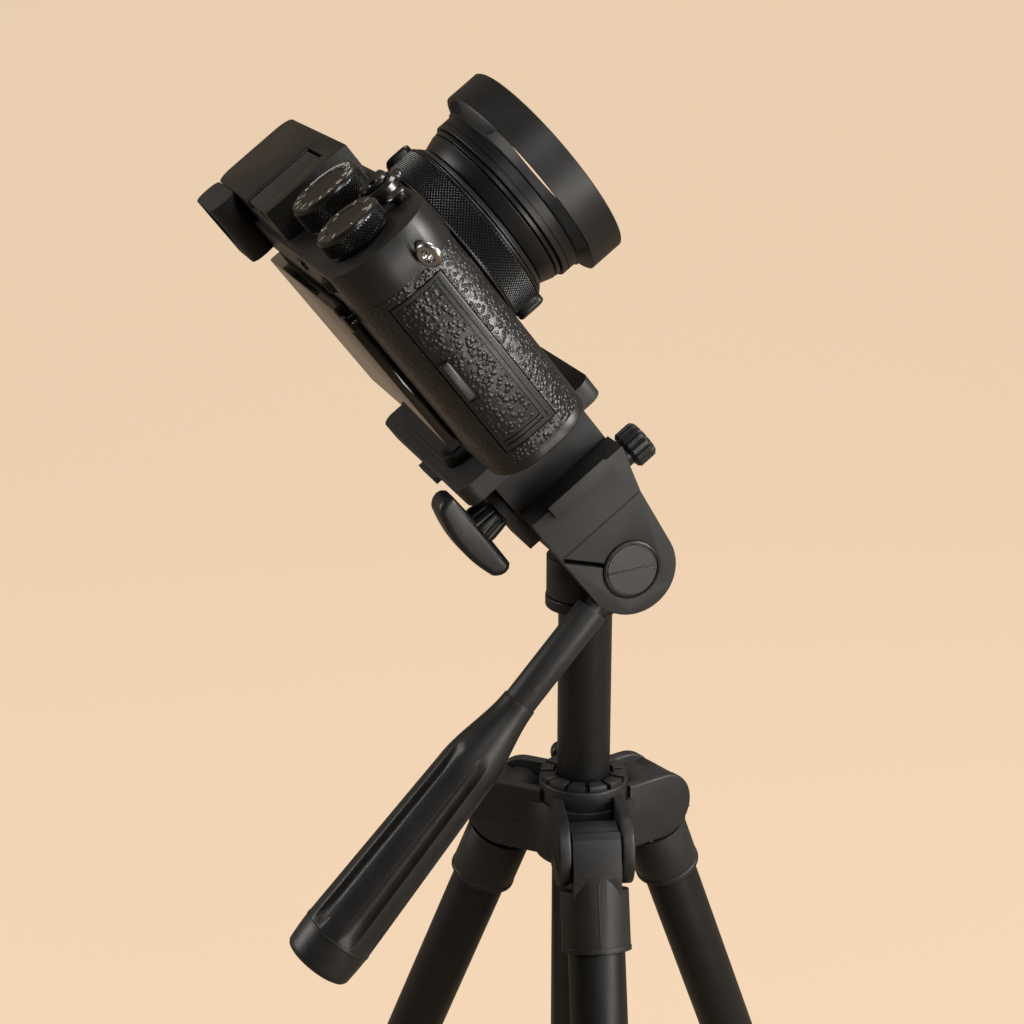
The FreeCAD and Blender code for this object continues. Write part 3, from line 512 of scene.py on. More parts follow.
def leg_frame(index):
    """Millimetres from the hinge pin: Z runs up along the leg, X points outwards."""
    fold = joints["leg_fold_%d" % index]
    up_leg = -Vector(joints["leg_extend_%d" % index]["axis"])
    outwards = (-Vector(fold["axis"])).cross(up_leg)
    return frame_from(Vector(fold["pos_m"]), outwards, up_leg)


# %% [markdown]
# A lock collar and a foot are gripped by hand and floor, so they have ribs. Pressing a wave
# into a turned profile gives ribs with soft valleys and keeps the piece one closed mesh.

# %% Leg pieces
TUBE_R, TUBE_INNER = 8.0, 7.0
LOWER_R, LOWER_INNER = 6.4, 5.4
COLLAR_R = 10.4
SLEEVE_R = 9.65
KNUCKLE_HALF = 6.7


def ribs(count, depth, start, end, fade=2.0, share=0.0):
    """Press depth by (distance, angle): count valleys that fade out at both ends."""
    def press(x, angle):
        inside = min(x - start, end - x) / fade
        if inside <= 0:
            return 0.0
        wave = max(0.0, (math.cos(angle * count) - share) / (1 - share))
        return depth * min(1.0, inside) ** 0.5 * wave ** 0.6
    return press


def pressed(profile, steps, press, above=0.0):
    """Turned piece whose radius, where it is above a number, is reduced by press(distance, angle)."""
    made = turned(profile, steps)
    for vert in made.verts:
        reach = math.hypot(vert.co.y, vert.co.z)
        if reach > above:
            less = press(vert.co.x, math.atan2(vert.co.z, vert.co.y))
            vert.co.y *= (reach - less) / reach
            vert.co.z *= (reach - less) / reach
    return made


def spaced(start, end, count):
    """Evenly spaced numbers, both ends included."""
    return [start + (end - start) * step / count for step in range(count + 1)]


def ring_profile(start, end, outer, inner, soft=0.4):
    return round_corners([(start, inner), (start, outer), (end, outer), (end, inner)], soft, 3)


def collar_form():
    """Lock collar: ribbed outside, stepped bore inside."""
    outside = [(-203.0, 9.6), (-202.4, COLLAR_R)] + [(x, COLLAR_R) for x in spaced(-200, -180, 12)]
    outside += [(-176.8, COLLAR_R - 0.2), (-176.0, COLLAR_R - 1.2)]
    inside = [(-176.0, TUBE_R + 0.1), (-190.2, TUBE_R + 0.1), (-190.2, LOWER_R + 0.1),
              (-203.0, LOWER_R + 0.1)]
    press = ribs(20, 0.7, -201.0, -179.0)
    return pressed(outside + inside, 160, lambda x, angle: press(x, angle) if x > -202 else 0.0)


for index in range(1, LEG_COUNT + 1):
    hang = leg_frame(index)
    along = hang @ UPRIGHT
    tag = "_%d" % index
    stand_for("leg_upper_tube" + tag, turned(ring_profile(-190, -15, TUBE_R, TUBE_INNER, 0.3), 128), along)
    stand_for("leg_lower_tube" + tag, turned(ring_profile(-284, -20, LOWER_R, LOWER_INNER, 0.3), 96), along)
    stand_for("leg_foot" + tag, casting("leg_foot" + tag, 0.6))
    stand_for("leg_knuckle" + tag, casting("leg_knuckle" + tag, 1.0, 3))
    collar = collar_form()
    stand_for("leg_lock_collar" + tag, collar, along)
    lip = turned(round_corners([(-28.0, SLEEVE_R - 0.4), (-28.0, SLEEVE_R + 0.2), (-26.9, SLEEVE_R + 0.2),
                                (-26.3, SLEEVE_R - 0.1)], 0.12, 3), 128)
    add_trim("knuckle_lip" + tag, lip, along, "leg_knuckle" + tag)
    seam = bar((SLEEVE_R - 0.3, SLEEVE_R + 0.12), (-0.2, 0.2), (-27.0, -9.0), 0.08, 0.06)
    add_trim("knuckle_seam" + tag, seam, hang, "leg_knuckle" + tag)
print("legs", LEG_COUNT)

# %% [markdown]
# The crown is a moulding: a hub with three pairs of ears. Between neighbouring ears the real
# one has a hollow curved wall, which is an extruded outline with one inward arc.

# %% Crown frame and measures
hub = Vector(joints["column_rise"].get("pos_m") or joints["pan"]["pos_m"])
hinge_z = joints["leg_fold_1"]["pos_m"][2]
CROWN = Matrix.Translation((hub.x, hub.y, hinge_z)) @ Matrix.Scale(MM, 4)
EAR_IN = KNUCKLE_HALF + 0.35
EAR_OUT = KNUCKLE_HALF + 0.35 + 3.6
EAR_RADIUS = 10.0
EAR_FOOT = 9.0
HINGE_R = 22.0
HUB_R = 13.8
WEB_REACH = 7.0
HALF_PI = math.pi / 2


def azimuth_of(index):
    spot = Vector(joints["leg_fold_%d" % index]["pos_m"])
    return math.atan2(spot.y - hub.y, spot.x - hub.x)


# %% Ears, webs and hub of the crown
ear_outline = [(EAR_FOOT, -EAR_RADIUS), (HINGE_R, -EAR_RADIUS)]
ear_outline += [(HINGE_R + EAR_RADIUS * math.sin(a), -EAR_RADIUS * math.cos(a))
                for a in spaced(0.1, math.pi - 0.1, 28)]
ear_outline += [(HINGE_R, EAR_RADIUS), (EAR_FOOT, EAR_RADIUS)]
stand_up = Matrix(((1, 0, 0, 0), (0, 0, -1, 0), (0, 1, 0, 0), (0, 0, 0, 1)))
hub_outline = [(-11.0, 9.0), (-11.0, HUB_R), (6.5, HUB_R), (6.5, 12.9), (5.0, 12.9), (5.0, 9.0)]
crown_parts = [(turned(round_corners(hub_outline, 0.3, 3), 128), UPRIGHT)]
web_corner = EAR_OUT / math.cos(math.radians(30))
web_radius = WEB_REACH * math.tan(math.radians(60))
web_middle = web_corner + 2 * WEB_REACH
web_curve = [(web_middle + web_radius * math.cos(a), web_radius * math.sin(a))
             for a in spaced(math.radians(151), math.radians(209), 14)]
for index in range(1, LEG_COUNT + 1):
    turn = Matrix.Rotation(azimuth_of(index), 4, "Z")
    for low, high in ((EAR_IN, EAR_OUT), (-EAR_OUT, -EAR_IN)):
        crown_parts.append((extruded(ear_outline, low, high, 0.7, 3), turn @ stand_up))
    pin = turned(ring_profile(-EAR_IN - 1.0, EAR_IN + 1.0, 2.5, 0.2, 0.1), 32)
    pin_turn = Matrix.Translation((HINGE_R, 0, 0)) @ Matrix.Rotation(HALF_PI, 4, "Z")
    crown_parts.append((pin, turn @ pin_turn))
    web = extruded(web_curve + [(web_corner - 2.5, -3.5), (web_corner - 2.5, 3.5)], -9.4, 6.3, 0.5, 2)
    crown_parts.append((web, Matrix.Rotation(azimuth_of(index) + math.pi / LEG_COUNT, 4, "Z")))
stand_for("crown", joined(crown_parts), CROWN)
print("crown of", len(crown_parts), "parts")

# %% Mould lines across the ears
for index in range(1, LEG_COUNT + 1):
    for side, label in ((-1, "near"), (1, "far")):
        depths = sorted((side * EAR_OUT, side * (EAR_OUT + 0.12)))
        line = bar((15.0, 31.6), (depths[0] - 0.1, depths[1]), (-0.15, 0.15), 0.05, 0.04)
        turn = Matrix.Rotation(azimuth_of(index), 4, "Z") @ Matrix.Rotation(math.radians(4), 4, "Y")
        add_trim("ear_line_%d_%s" % (index, label), line, CROWN @ turn, "crown")

# %% [markdown]
# The column slides in a notched ring and is clamped by a wing screw. The notches are really
# twelve low teeth, so the simplest way is to stand extruded teeth on a turned ring.

# %% Column guide: a ring with notches cut into its top
ring = turned(ring_profile(5.0, 12.2, 12.8, 7.7, 0.5), 128)
teeth = [(ring, UPRIGHT)]
TOOTH_COUNT = 12
for tooth in range(TOOTH_COUNT):
    half = math.pi / TOOTH_COUNT * 0.78
    arc = [(12.4 * math.cos(a), 12.4 * math.sin(a)) for a in spaced(-half, half, 6)]
    back = [(8.6 * math.cos(a), 8.6 * math.sin(a)) for a in spaced(half, -half, 6)]
    teeth.append((extruded(arc + back, 11.9, 14.0, 0.35),
                  Matrix.Rotation(2 * math.pi * tooth / TOOTH_COUNT, 4, "Z")))
lock_way = Vector(joints["column_lock"]["axis"])
lock_turn = Matrix.Rotation(math.atan2(lock_way.y, lock_way.x), 4, "Z")
boss = turned(ring_profile(8.5, 16.0, 2.9, 1.7, 0.3), 48)
teeth.append((boss, Matrix.Translation((0, 0, 9.5)) @ lock_turn))
stand_for("column_bushing", joined(teeth), CROWN)

# %% Column lock: a wing on a screw
wing_outline = round_corners([(-7.0, -3.4), (7.0, -3.4), (7.0, 3.4), (-7.0, 3.4)], 3.0)
wing = extruded(wing_outline, 19.0, 23.6, 1.0, 3)
screw = turned(ring_profile(9.0, 19.5, 1.6, 0.4, 0.3), 32)
wing_place = Matrix(((0, 0, 1, 0), (1, 0, 0, 0), (0, 1, 0, 0), (0, 0, 0, 1)))
stand_for("column_lock_knob", joined([(wing, wing_place), (screw, HERE)]),
          CROWN @ Matrix.Translation((0, 0, 9.5)) @ lock_turn)

# %% Column and centre tube
top_of_column = (pivot.z - hinge_z) / MM
shaft_start, disc_start, disc_end = top_of_column - 236, top_of_column - 16.2, top_of_column - 12.9
shaft = [(shaft_start, 6.4), (shaft_start, 7.6), (disc_start, 7.6), (disc_start, 11.3), (disc_end, 11.3),
         (disc_end, 4.5),
         (disc_end + 5.9, 4.5), (disc_end + 5.9, 1.0), (disc_start, 1.0)]
stand_for("column", turned(round_corners(shaft, 0.35, 3), 128), CROWN @ UPRIGHT)
stand_for("centre_tube", turned(ring_profile(top_of_column - 172, 5.0, 8.9, 7.95, 0.3), 128), CROWN @ UPRIGHT)
stand_for("column_end_cap", casting("column_end_cap", 0.5))
print("column top", round(top_of_column, 2), "mm above the hinge pins")

# %% [markdown]
# ## The head
# The tilt block is a plastic moulding with a clamp slit, the pan handle is a rod with a fluted
# grip, and three knobs clamp the joints. The knobs are turned and fluted, or bent like a bow.

# %% Neck, pin and tilt block
stand_for("neck", casting("neck", 0.6))
stand_for("tilt_block", casting("tilt_block", 0.7, 3))
cap = [(-20.4, 0.0), (-20.4, 6.9), (-20.15, 7.1), (-20.15, 7.35), (-20.6, 7.6), (-20.4, 8.1),
       (-19.8, 8.25), (-9.2, 8.25),
       (-9.2, 5.0), (9.8, 5.0), (9.8, 0.0)]
pin_place = Matrix.Translation(pivot) @ Matrix.Rotation(math.radians(90), 4, "Z") @ Matrix.Scale(MM, 4)
stand_for("tilt_pin", turned(cap, 96), pin_place)
pin_line = bar((-20.72, -20.5), (-7.2, 7.2), (-0.14, 0.14), 0.1, 0.04)
add_trim("pin_line", pin_line, pin_place @ Matrix.Rotation(math.radians(-6), 4, "X"), "tilt_pin")
# The seam is a near-black strip on the tilt block: painted shade along the seam
seam_line = bar((-12.8, 14.9), (-20.08, -19.6), (15.75, 16.2), 0.1, 0.0)
add_trim("head_seam", seam_line, LEVEL, "tilt_block", recess_shade_black)

# %% Handle: rod and fluted grip
handle = joints["handle_twist"]
handle_place = frame_from(Vector(handle["pos_m"]), Vector(handle["axis"]), Vector((0, 1, 0)))
rod_profile = [(9.6, 0.4), (9.6, 3.0), (15.0, 3.0), (15.0, 4.6), (60.0, 4.6), (60.0, 0.4)]
stand_for("handle_rod", turned(round_corners(rod_profile, 0.3, 3), 96), handle_place)


def grip_radius(x):
    """Flared front, slow taper and a slightly narrower end band."""
    if x < 72:
        ease = (x - 47) / 25
        return 4.95 + 3.45 * (ease * ease * (3 - 2 * ease))
    if x < 128:
        return 8.4 + 1.9 * (x - 72) / 56
    return 10.3 - 0.5 * ((x - 128) / 10) ** 2


outer = [(47.0, 4.65), (47.1, 4.9)] + [(x, grip_radius(x)) for x in spaced(47.4, 136.8, 70)]
outer += [(137.6, grip_radius(137) - 0.5), (138.0, grip_radius(137) - 1.4), (138.0, 0.5), (60.2, 0.5),
          (60.2, 4.65)]
flutes = ribs(6, 1.5, 66.0, 127.0, 8.0, 0.25)


FLUTE_TURN = 0.35
grip = pressed(outer, 192, lambda x, angle: flutes(x, angle + FLUTE_TURN), 5.2)
stand_for("handle_grip", grip, handle_place)
band = turned(round_corners([(127.6, 9.8), (127.6, 10.42), (128.6, 10.42), (128.6, 9.8)], 0.2, 2), 128)
add_trim("grip_band", band, handle_place, "handle_grip")

# %% [markdown]
# Both clamp knobs are plastic moulded over a screw. One has a bar like a bow, easy to turn with
# two fingers, so its outline is drawn flat and extruded. The other is a fluted drum.

# %% Side tilt knob: a bow-shaped bar on a ribbed hub
knob_point = level_point("side_tilt_lock")
HALF_BAR = 14.2


def bow(offset, dip, half):
    return [(offset + dip * (w / half) ** 2, w) for w in spaced(-half, half, 16)]


bar_end = [(-28.2, HALF_BAR - 1.1), (-27.0, HALF_BAR - 0.3), (-25.6, HALF_BAR), (-24.2, HALF_BAR - 0.3)]
outline = bow(-30.9, 1.9, HALF_BAR - 2.0) + bar_end + bow(-22.8, -0.3, HALF_BAR - 1.4)[::-1]
outline += [(u, -w) for u, w in reversed(bar_end)]
bow_bar = extruded(outline, -5.0, 5.0, 1.8, 5)
hub_profile = [(-23.4, 0.5), (-23.4, 5.3), (-22.0, 5.5), (-18.6, 5.0), (-17.0, 4.7), (-17.0, 3.0),
               (6.0, 3.0), (6.0, 0.5)]
hub_ribs = ribs(14, 0.5, -23.0, -17.2, 1.0)
hub_form = pressed(hub_profile, 112, hub_ribs)
stand_for("side_tilt_knob", joined([(bow_bar, stand_up), (hub_form, HERE)]),
          LEVEL @ Matrix.Translation((0, 0, knob_point.z)))

# %% Tilt friction knob: a chamfered drum with deep flutes
friction_point = level_point("tilt_friction")
drum = [(20.6, 0.5), (20.6, 4.9), (21.3, 5.6)] + [(x, 5.6) for x in spaced(21.8, 25.6, 5)]
drum += [(26.3, 5.5), (27.0, 4.7), (27.0, 3.6), (26.7, 3.4), (26.7, 0.5)]
drum_flutes = ribs(16, 0.75, 20.0, 26.8, 0.8, 0.1)
drum_form = pressed(drum, 192, drum_flutes)
neck_profile = [(6.0, 0.5), (6.0, 2.0), (18.6, 2.0), (18.6, 3.6), (20.8, 3.6), (20.8, 0.5)]
parts = [(drum_form, HERE), (turned(round_corners(neck_profile, 0.2, 2), 48), HERE)]
friction_place = LEVEL @ Matrix.Translation((0, friction_point.y, friction_point.z))
stand_for("tilt_friction_knob", joined(parts), friction_place)

# %% Platform and quick plate
for node, width, segments in (("platform", 0.8, 3), ("quick_plate", 0.4, 2), ("plate_pad", 0.3, 2),
                              ("camera_screw", 0.2, 2), ("plate_lever", 0.7, 3)):
    stand_for(node, casting(node, width, segments))
print("head made")

# %% [markdown]
# ## The camera's casing
# The casing is a metal top and bottom with a leather-covered waist. The end walls are nearly
# half round, so everything that lies on them is cut to the same curve.

# %% Casing
for node, width in (("base_plate", 0.35), ("body_shell", 0.2), ("leather_band", 0.15), ("top_cover", 0.45),
                    ("battery_door", 0.2), ("battery", 1.0), ("sensor_board", 0.2), ("hot_shoe", 0.12),
                    ("quick_button", 0.25), ("finder_optics", 0.2)):
    stand_for(node, casting(node, width))
for node, width, segments in (("rear_screen", 0.4, 3), ("eyecup", 1.1, 4), ("terminal_door", 0.2, 2)):
    stand_for(node, casting(node, width, segments))
cover_low, cover_high = level_box("top_cover")
CORNER_R = 12.5
SIDE_V = cover_low.y
FRONT_U, REAR_U = cover_high.x, cover_low.x
DECK_W = 122.5
RAISED_W = cover_high.z


def side_wall(u, inset):
    """v of the near end wall at u, drawn in by an inset."""
    for centre, beyond in ((REAR_U + CORNER_R, u < REAR_U + CORNER_R),
                           (FRONT_U - CORNER_R, u > FRONT_U - CORNER_R)):
        if beyond:
            return SIDE_V + CORNER_R - math.sqrt((CORNER_R - inset) ** 2 - (u - centre) ** 2)
    return SIDE_V + inset


def curved_strip(start, end, low, high, inner, outer, bevel=0.12):
    """Strip of the end wall between two depths, from start to end along u."""
    stations = spaced(start, end, max(2, int((end - start) / 0.6)))
    outline = [(u, side_wall(u, outer)) for u in stations]
    outline += [(u, side_wall(u, inner)) for u in reversed(stations)]
    return extruded(outline, low, high, bevel)


def add_strip(name, host, finish, *measures):
    return add_trim(name, curved_strip(*measures), LEVEL, host, finish)


# %% [markdown]
# The side door has a leather inlay with a gap for the finger pull. A boolean cut makes the gap,
# because the inlay is a curved strip and the pull has a plain rounded outline.

# %% Terminal door: leather inlay inside a double frame
DOOR_W = (62.5, 109.0)
inlay = curved_strip(-7.2, 3.6, DOOR_W[0] + 3.6, DOOR_W[1] - 1.2, 0.6, -0.12, 0.2)
pull_gap = extruded(round_corners([(-8.6, -55), (-4.6, -55), (-4.6, -40), (-8.6, -40)], 1.2), 78.8, 92.2, 0)
place_piece("door_inlay", cut_away(inlay, pull_gap), LEVEL, finishes["camera_leather"],
            body_of["terminal_door"])
for number, (start, end) in enumerate(((4.2, 4.7), (5.5, 6.0))):
    add_strip("door_frame_front_%d" % number, "terminal_door", None, start, end,
              DOOR_W[0] + 1.0 + number * -0.4, DOOR_W[1] - 0.8, 0.5, -0.15)
for number, low in enumerate((DOOR_W[0] + 1.0, DOOR_W[0] + 2.3)):
    add_strip("door_frame_foot_%d" % number, "terminal_door", None, -7.0, 4.7, low, low + 0.5, 0.5, -0.15)
pull = bar((-7.9, -5.1), (-50.3, -48.2), (79.8, 91.2), 0.9, 0.5)
add_trim("door_pull", pull, LEVEL, "terminal_door")

# %% Strap loops on their posts, with a dark plate behind each
lug_low, lug_high = level_box("strap_lugs")
lug_u, lug_w = (lug_low.x + lug_high.x) / 2, (lug_low.z + lug_high.z) / 2
parts = []
for side in (-1, 1):
    v = SIDE_V if side < 0 else cover_high.y
    ring = [(1.15 * math.cos(a), 2.3 + 1.15 * math.sin(a)) for a in spaced(0, 2 * math.pi * 19 / 20, 19)]
    opened = Matrix.Rotation(math.radians(-38 * side), 4, "Z")
    parts.append((turned(ring, 64), Matrix.Translation((lug_u, v + side * 3.4, lug_w)) @ opened))
    post = turned(ring_profile(-2.2, 1.4, 1.5, 0.3, 0.2), 32)
    sideways = Matrix.Rotation(math.radians(90 * side), 4, "Z")
    parts.append((post, Matrix.Translation((lug_u, v, lug_w)) @ sideways))
stand_for("strap_lugs", joined(parts), LEVEL)
plate = [(1.9 * math.cos(a), 3.4 * math.sin(a)) for a in spaced(0, 2 * math.pi * 31 / 32, 31)]
plate_turn = Matrix(((1, 0, 0, 0), (0, 0, 1, 0), (0, 1, 0, 0), (0, 0, 0, 1)))
wall_v = side_wall(lug_u, 0.0)
for side, v in (("near", wall_v - 0.1), ("far", cover_high.y - (wall_v - SIDE_V) + 0.1)):
    dark = extruded(plate, -0.25, 0.25, 0.15)
    plate_place = LEVEL @ Matrix.Translation((lug_u, v, lug_w)) @ plate_turn
    add_trim("lug_plate_" + side, dark, plate_place, "top_cover", finishes["button_gloss"])
print("casing", round(FRONT_U - REAR_U, 2), "x", round(cover_high.y - SIDE_V, 2), "mm")

# %% Small parts of the top cover: microphones and shoe cover
# Each microphone hole is a shallow near-black disc on the deck: painted shade in place of the hole
for number, v in enumerate((11.0, 24.6)):
    hole = turned(round_corners([(-0.3, 0.05), (-0.3, 0.55), (0.04, 0.55), (0.04, 0.05)], 0.02, 1), 24)
    add_trim("microphone_%d" % (number + 1), hole, standing_at(Vector((11.0, v, 0)), RAISED_W),
             "top_cover", recess_shade_black)
shoe_low, shoe_high = level_box("hot_shoe")
cover_plan = [(shoe_low.x + 0.6, shoe_low.y + 2.3), (shoe_high.x - 0.6, shoe_low.y + 2.3),
              (shoe_high.x - 0.6, shoe_high.y - 2.3), (shoe_low.x + 0.6, shoe_high.y - 2.3)]
shoe_cover = extruded(round_corners(cover_plan, 0.6), shoe_low.z + 0.8, shoe_high.z - 0.2, 0.25)
add_trim("shoe_cover", shoe_cover, LEVEL, "hot_shoe", finishes["body_plastic"])

# %% [markdown]
# ## Dials and buttons
# The dials are knurled so that a finger grips them. The knurl here is real geometry: pyramids
# whose valleys run both ways round the drum. Plain numbers stand on the rim of each dial.

# %% Numbers round a dial
def numbers_ring(labels, radius, size, height, span=360.0, start=0.0):
    """Raised numbers in the XY plane of a dial, feet towards the middle."""
    parts = []
    for index, label in enumerate(labels):
        curve = bpy.data.curves.new("number", "FONT")
        curve.body = label
        curve.size = size
        curve.align_x = "CENTER"
        curve.extrude = 0.012
        carrier = bpy.data.objects.new("number", curve)
        scene.collection.objects.link(carrier)
        made = bmesh.new()
        depsgraph = bpy.context.evaluated_depsgraph_get()
        made.from_mesh(bpy.data.meshes.new_from_object(carrier.evaluated_get(depsgraph)))
        bpy.data.objects.remove(carrier)
        angle = math.radians(start - span * index / len(labels))
        parts.append((made, Matrix.Rotation(angle, 4, "Z") @ Matrix.Translation((0, radius, height))))
    return joined(parts)


# %% Two dials on the deck
def make_dial(node, joint, radius, height, labels):
    point = level_point(joint)
    low = DECK_W + 0.5
    top = low + height
    place = standing_at(point)
    rim = radius - 0.7
    profile = [(low - 3.6, 0.4), (low - 3.6, 2.5), (low, 2.5), (low, radius - 0.4), (low + 0.7, radius - 0.2),
               (low + 0.7, radius - 1.2), (top - 1.1, radius - 1.2), (top - 1.1,
                                                                      radius - 0.05), (top - 0.75,
                                                                                       radius - 0.1),
               (top, rim), (top, 6.6 * radius / 10), (top - 0.35, 6.4 * radius / 10), (top - 0.35, 0.4)]
    core = turned(profile, 128)
    grip_band = knurled_drum(radius, 0.38, low + 0.8, top - 1.2, 0.95, radius - 1.4)
    stand_for(node, joined([(core, HERE), (grip_band, HERE)]), place)
    face_r = 6.3 * radius / 10
    face = turned(round_corners([(top - 0.5, 0.05), (top - 0.5, face_r), (top - 0.12, face_r),
                                 (top - 0.2, face_r - 0.8),
                                 (top - 0.2, 0.05)], 0.04, 1), 96)
    add_trim(node + "_face", face, place, node, dial_bronze)
    digits = numbers_ring(labels, 7.35 * radius / 10, 1.75, top + 0.005)
    ticks = [(bar((-0.12, 0.12), (6.75 * radius / 10, 7.05 * radius / 10), (top - 0.02, top + 0.02), 0.02,
                  0.0),
              Matrix.Rotation(2 * math.pi * k / len(labels), 4, "Z")) for k in range(len(labels))]
    marks = joined([(digits, HERE)] + ticks)
    add_trim(node + "_numbers", marks, LEVEL @ Matrix.Translation((point.x, point.y, 0)), node, white_marks)


make_dial("shutter_dial", "shutter_dial_turn", 10.2, 7.6,
          "4000 2000 1000 500 250 125 60 30 15 8 4 2 1 B T A".split())
make_dial("exposure_dial", "exposure_dial_turn", 8.8, 5.6, "3 2 1 0 1 2 3 C".split())

# %% Power ring, release and function buttons
release = level_point("power_switch")
ring_form = [(DECK_W + 0.4, 1.7), (DECK_W + 0.4, 5.6), (DECK_W + 0.9, 6.0), (DECK_W + 2.6, 6.0),
             (DECK_W + 3.4, 5.4),
             (DECK_W + 3.6, 4.7), (DECK_W + 3.3, 4.35), (DECK_W + 1.6, 4.3), (DECK_W + 1.6, 1.7)]
tab = bar((2.6, 7.3), (-1.9, 1.9), (DECK_W + 0.9, DECK_W + 3.2), 1.2, 0.6)
stem = turned(ring_profile(DECK_W - 3.4, DECK_W + 0.9, 3.6, 1.7, 0.2), 48)
parts = [(turned(ring_form, 128), UPRIGHT), (tab, HERE), (stem, UPRIGHT)]
stand_for("power_lever", joined(parts), LEVEL @ Matrix.Translation((release.x, release.y, 0)),
          finishes["button_gloss"])
press_top = [(DECK_W - 2.0, 0.6), (DECK_W - 2.0, 1.6), (DECK_W + 3.0, 1.6), (DECK_W + 3.0, 3.8),
             (DECK_W + 4.2, 4.0),
             (DECK_W + 4.75, 3.6), (DECK_W + 4.5, 2.4), (DECK_W + 4.3, 1.5), (DECK_W + 4.45,
                                                                              1.3), (DECK_W + 4.4, 1.05),
             (DECK_W + 3.0, 0.9), (DECK_W + 3.0, 0.6)]
stand_for("shutter_button", turned(press_top, 96), standing_at(release), finishes["button_gloss"])
function_low, function_high = level_box("function_button")
function = (function_low + function_high) / 2
button = [(DECK_W - 3.0, 0.3), (DECK_W - 3.0, 1.9), (DECK_W + 1.0, 1.9), (DECK_W + 1.0, 2.6),
          (DECK_W + 1.9, 2.7),
          (DECK_W + 2.2, 2.35), (DECK_W + 2.05, 1.2), (DECK_W + 2.0, 0.3)]
stand_for("function_button", turned(button, 64), standing_at(function), finishes["button_gloss"])

# %% Rear wheel and stick
wheel = level_point("command_wheel_turn")
drum = knurled_drum(4.4, 0.3, wheel.z - 1.8, wheel.z + 1.8, 0.8, 1.3)
stand_for("command_wheel", drum, standing_at(wheel))
stick_low, stick_high = level_box("joystick")
stick_centre = (stick_low + stick_high) / 2
stick = [(-16.6, 0.3), (-16.6, 1.5), (-16.45, 2.2), (-16.1, 2.6), (-15.6, 2.5), (-15.3, 1.7), (-15.3, 1.4),
         (-12.0, 1.4), (-12.0, 0.3)]
stand_for("joystick", turned(stick, 48), LEVEL @ Matrix.Translation((0, stick_centre.y, stick_centre.z)))

# %% [markdown]
# ## The lens
# Everything on the lens is turned about one axis. The aperture ring has the same pyramids as
# the dials, only finer, and two rounded finger tabs. The hood has three long vents.

# %% Barrel, rings and glass
face = FRONT_U
lens_point = level_point("aperture_turn")
place_lens = LEVEL @ Matrix.Translation((0, lens_point.y, lens_point.z))
barrel = [(6.0, 17.0), (6.0, 23.8), (face - 1.2, 23.8), (face - 1.2, 27.2), (face + 2.6, 27.2),
          (face + 2.6, 22.0),
          (face + 13.2, 22.0), (face + 13.2, 24.5), (face + 13.6, 24.6), (face + 14.8, 23.4), (face + 15.0,
                                                                                               20.6),
          (face + 19.9, 20.6), (face + 19.9, 17.0)]
stand_for("lens_barrel", turned(round_corners(barrel, 0.25, 3), 192), place_lens)
RING_R = 25.4
rim_front = ring_profile(face + 12.1, face + 12.9, RING_R, 22.1, 0.2)
rim_back = ring_profile(face + 3.5, face + 4.1, RING_R, 22.1, 0.2)
inner_sleeve = ring_profile(face + 3.8, face + 12.6, RING_R - 0.9, 22.1, 0.1)
parts = [(turned(profile, 192), HERE) for profile in (rim_front, rim_back, inner_sleeve)]
parts.append((knurled_drum(RING_R + 0.1, 0.42, face + 4.1, face + 12.1, 1.05, RING_R - 1.2), HERE))
TAB_TURN = math.radians(-24)
for side in (-1, 1):
    tab = extruded(round_corners([(face + 5.2, -4.6), (face + 12.9, -4.6), (face + 12.9, 4.6),
                                  (face + 5.2, 4.6)], 2.2),
                   RING_R - 1.4, RING_R + 1.8, 0.8, 3)
    turn = Matrix.Rotation(TAB_TURN + (math.pi if side < 0 else 0), 4, "X")
    parts.append((tab, turn))
stand_for("aperture_ring", joined(parts), place_lens)
focus = [(face + 15.3, 20.7), (face + 15.3, 22.8), (face + 15.6, 23.0), (face + 18.6, 24.0),
         (face + 19.3, 24.2),
         (face + 19.6, 24.0), (face + 19.6, 20.7)]
stand_for("focus_ring", turned(focus, 192), place_lens)
adapter = [(20.0, 20.7), (20.0, 24.1), (20.2, 24.3), (21.1, 24.3), (21.3, 24.1), (21.3, 22.9),
           (26.0, 22.9), (26.0, 20.7)]
stand_for("hood_adapter", turned([(face + x, r) for x, r in adapter], 192), place_lens)
bulge = [(face + 16.5 + 1.2 * (1 - (r / 16.95) ** 2), r) for r in spaced(16.95, 0.2, 10)]
glass = [turned([(face + 14.0, 0.2), (face + 14.0, 16.95)] + bulge, 96)]
glass += [turned(ring_profile(face + a, face + b, 16.95, 0.2, 0.1), 96) for a,
          b in ((6.0, 10.0), (-6.0, -1.0))]
stand_for("lens_elements", joined([(element, HERE) for element in glass]), place_lens)

# %% [markdown]
# The hood is a thin flared ring with three long slots, which let the finder see past it. It is
# turned first, and three blocks then cut the slots.

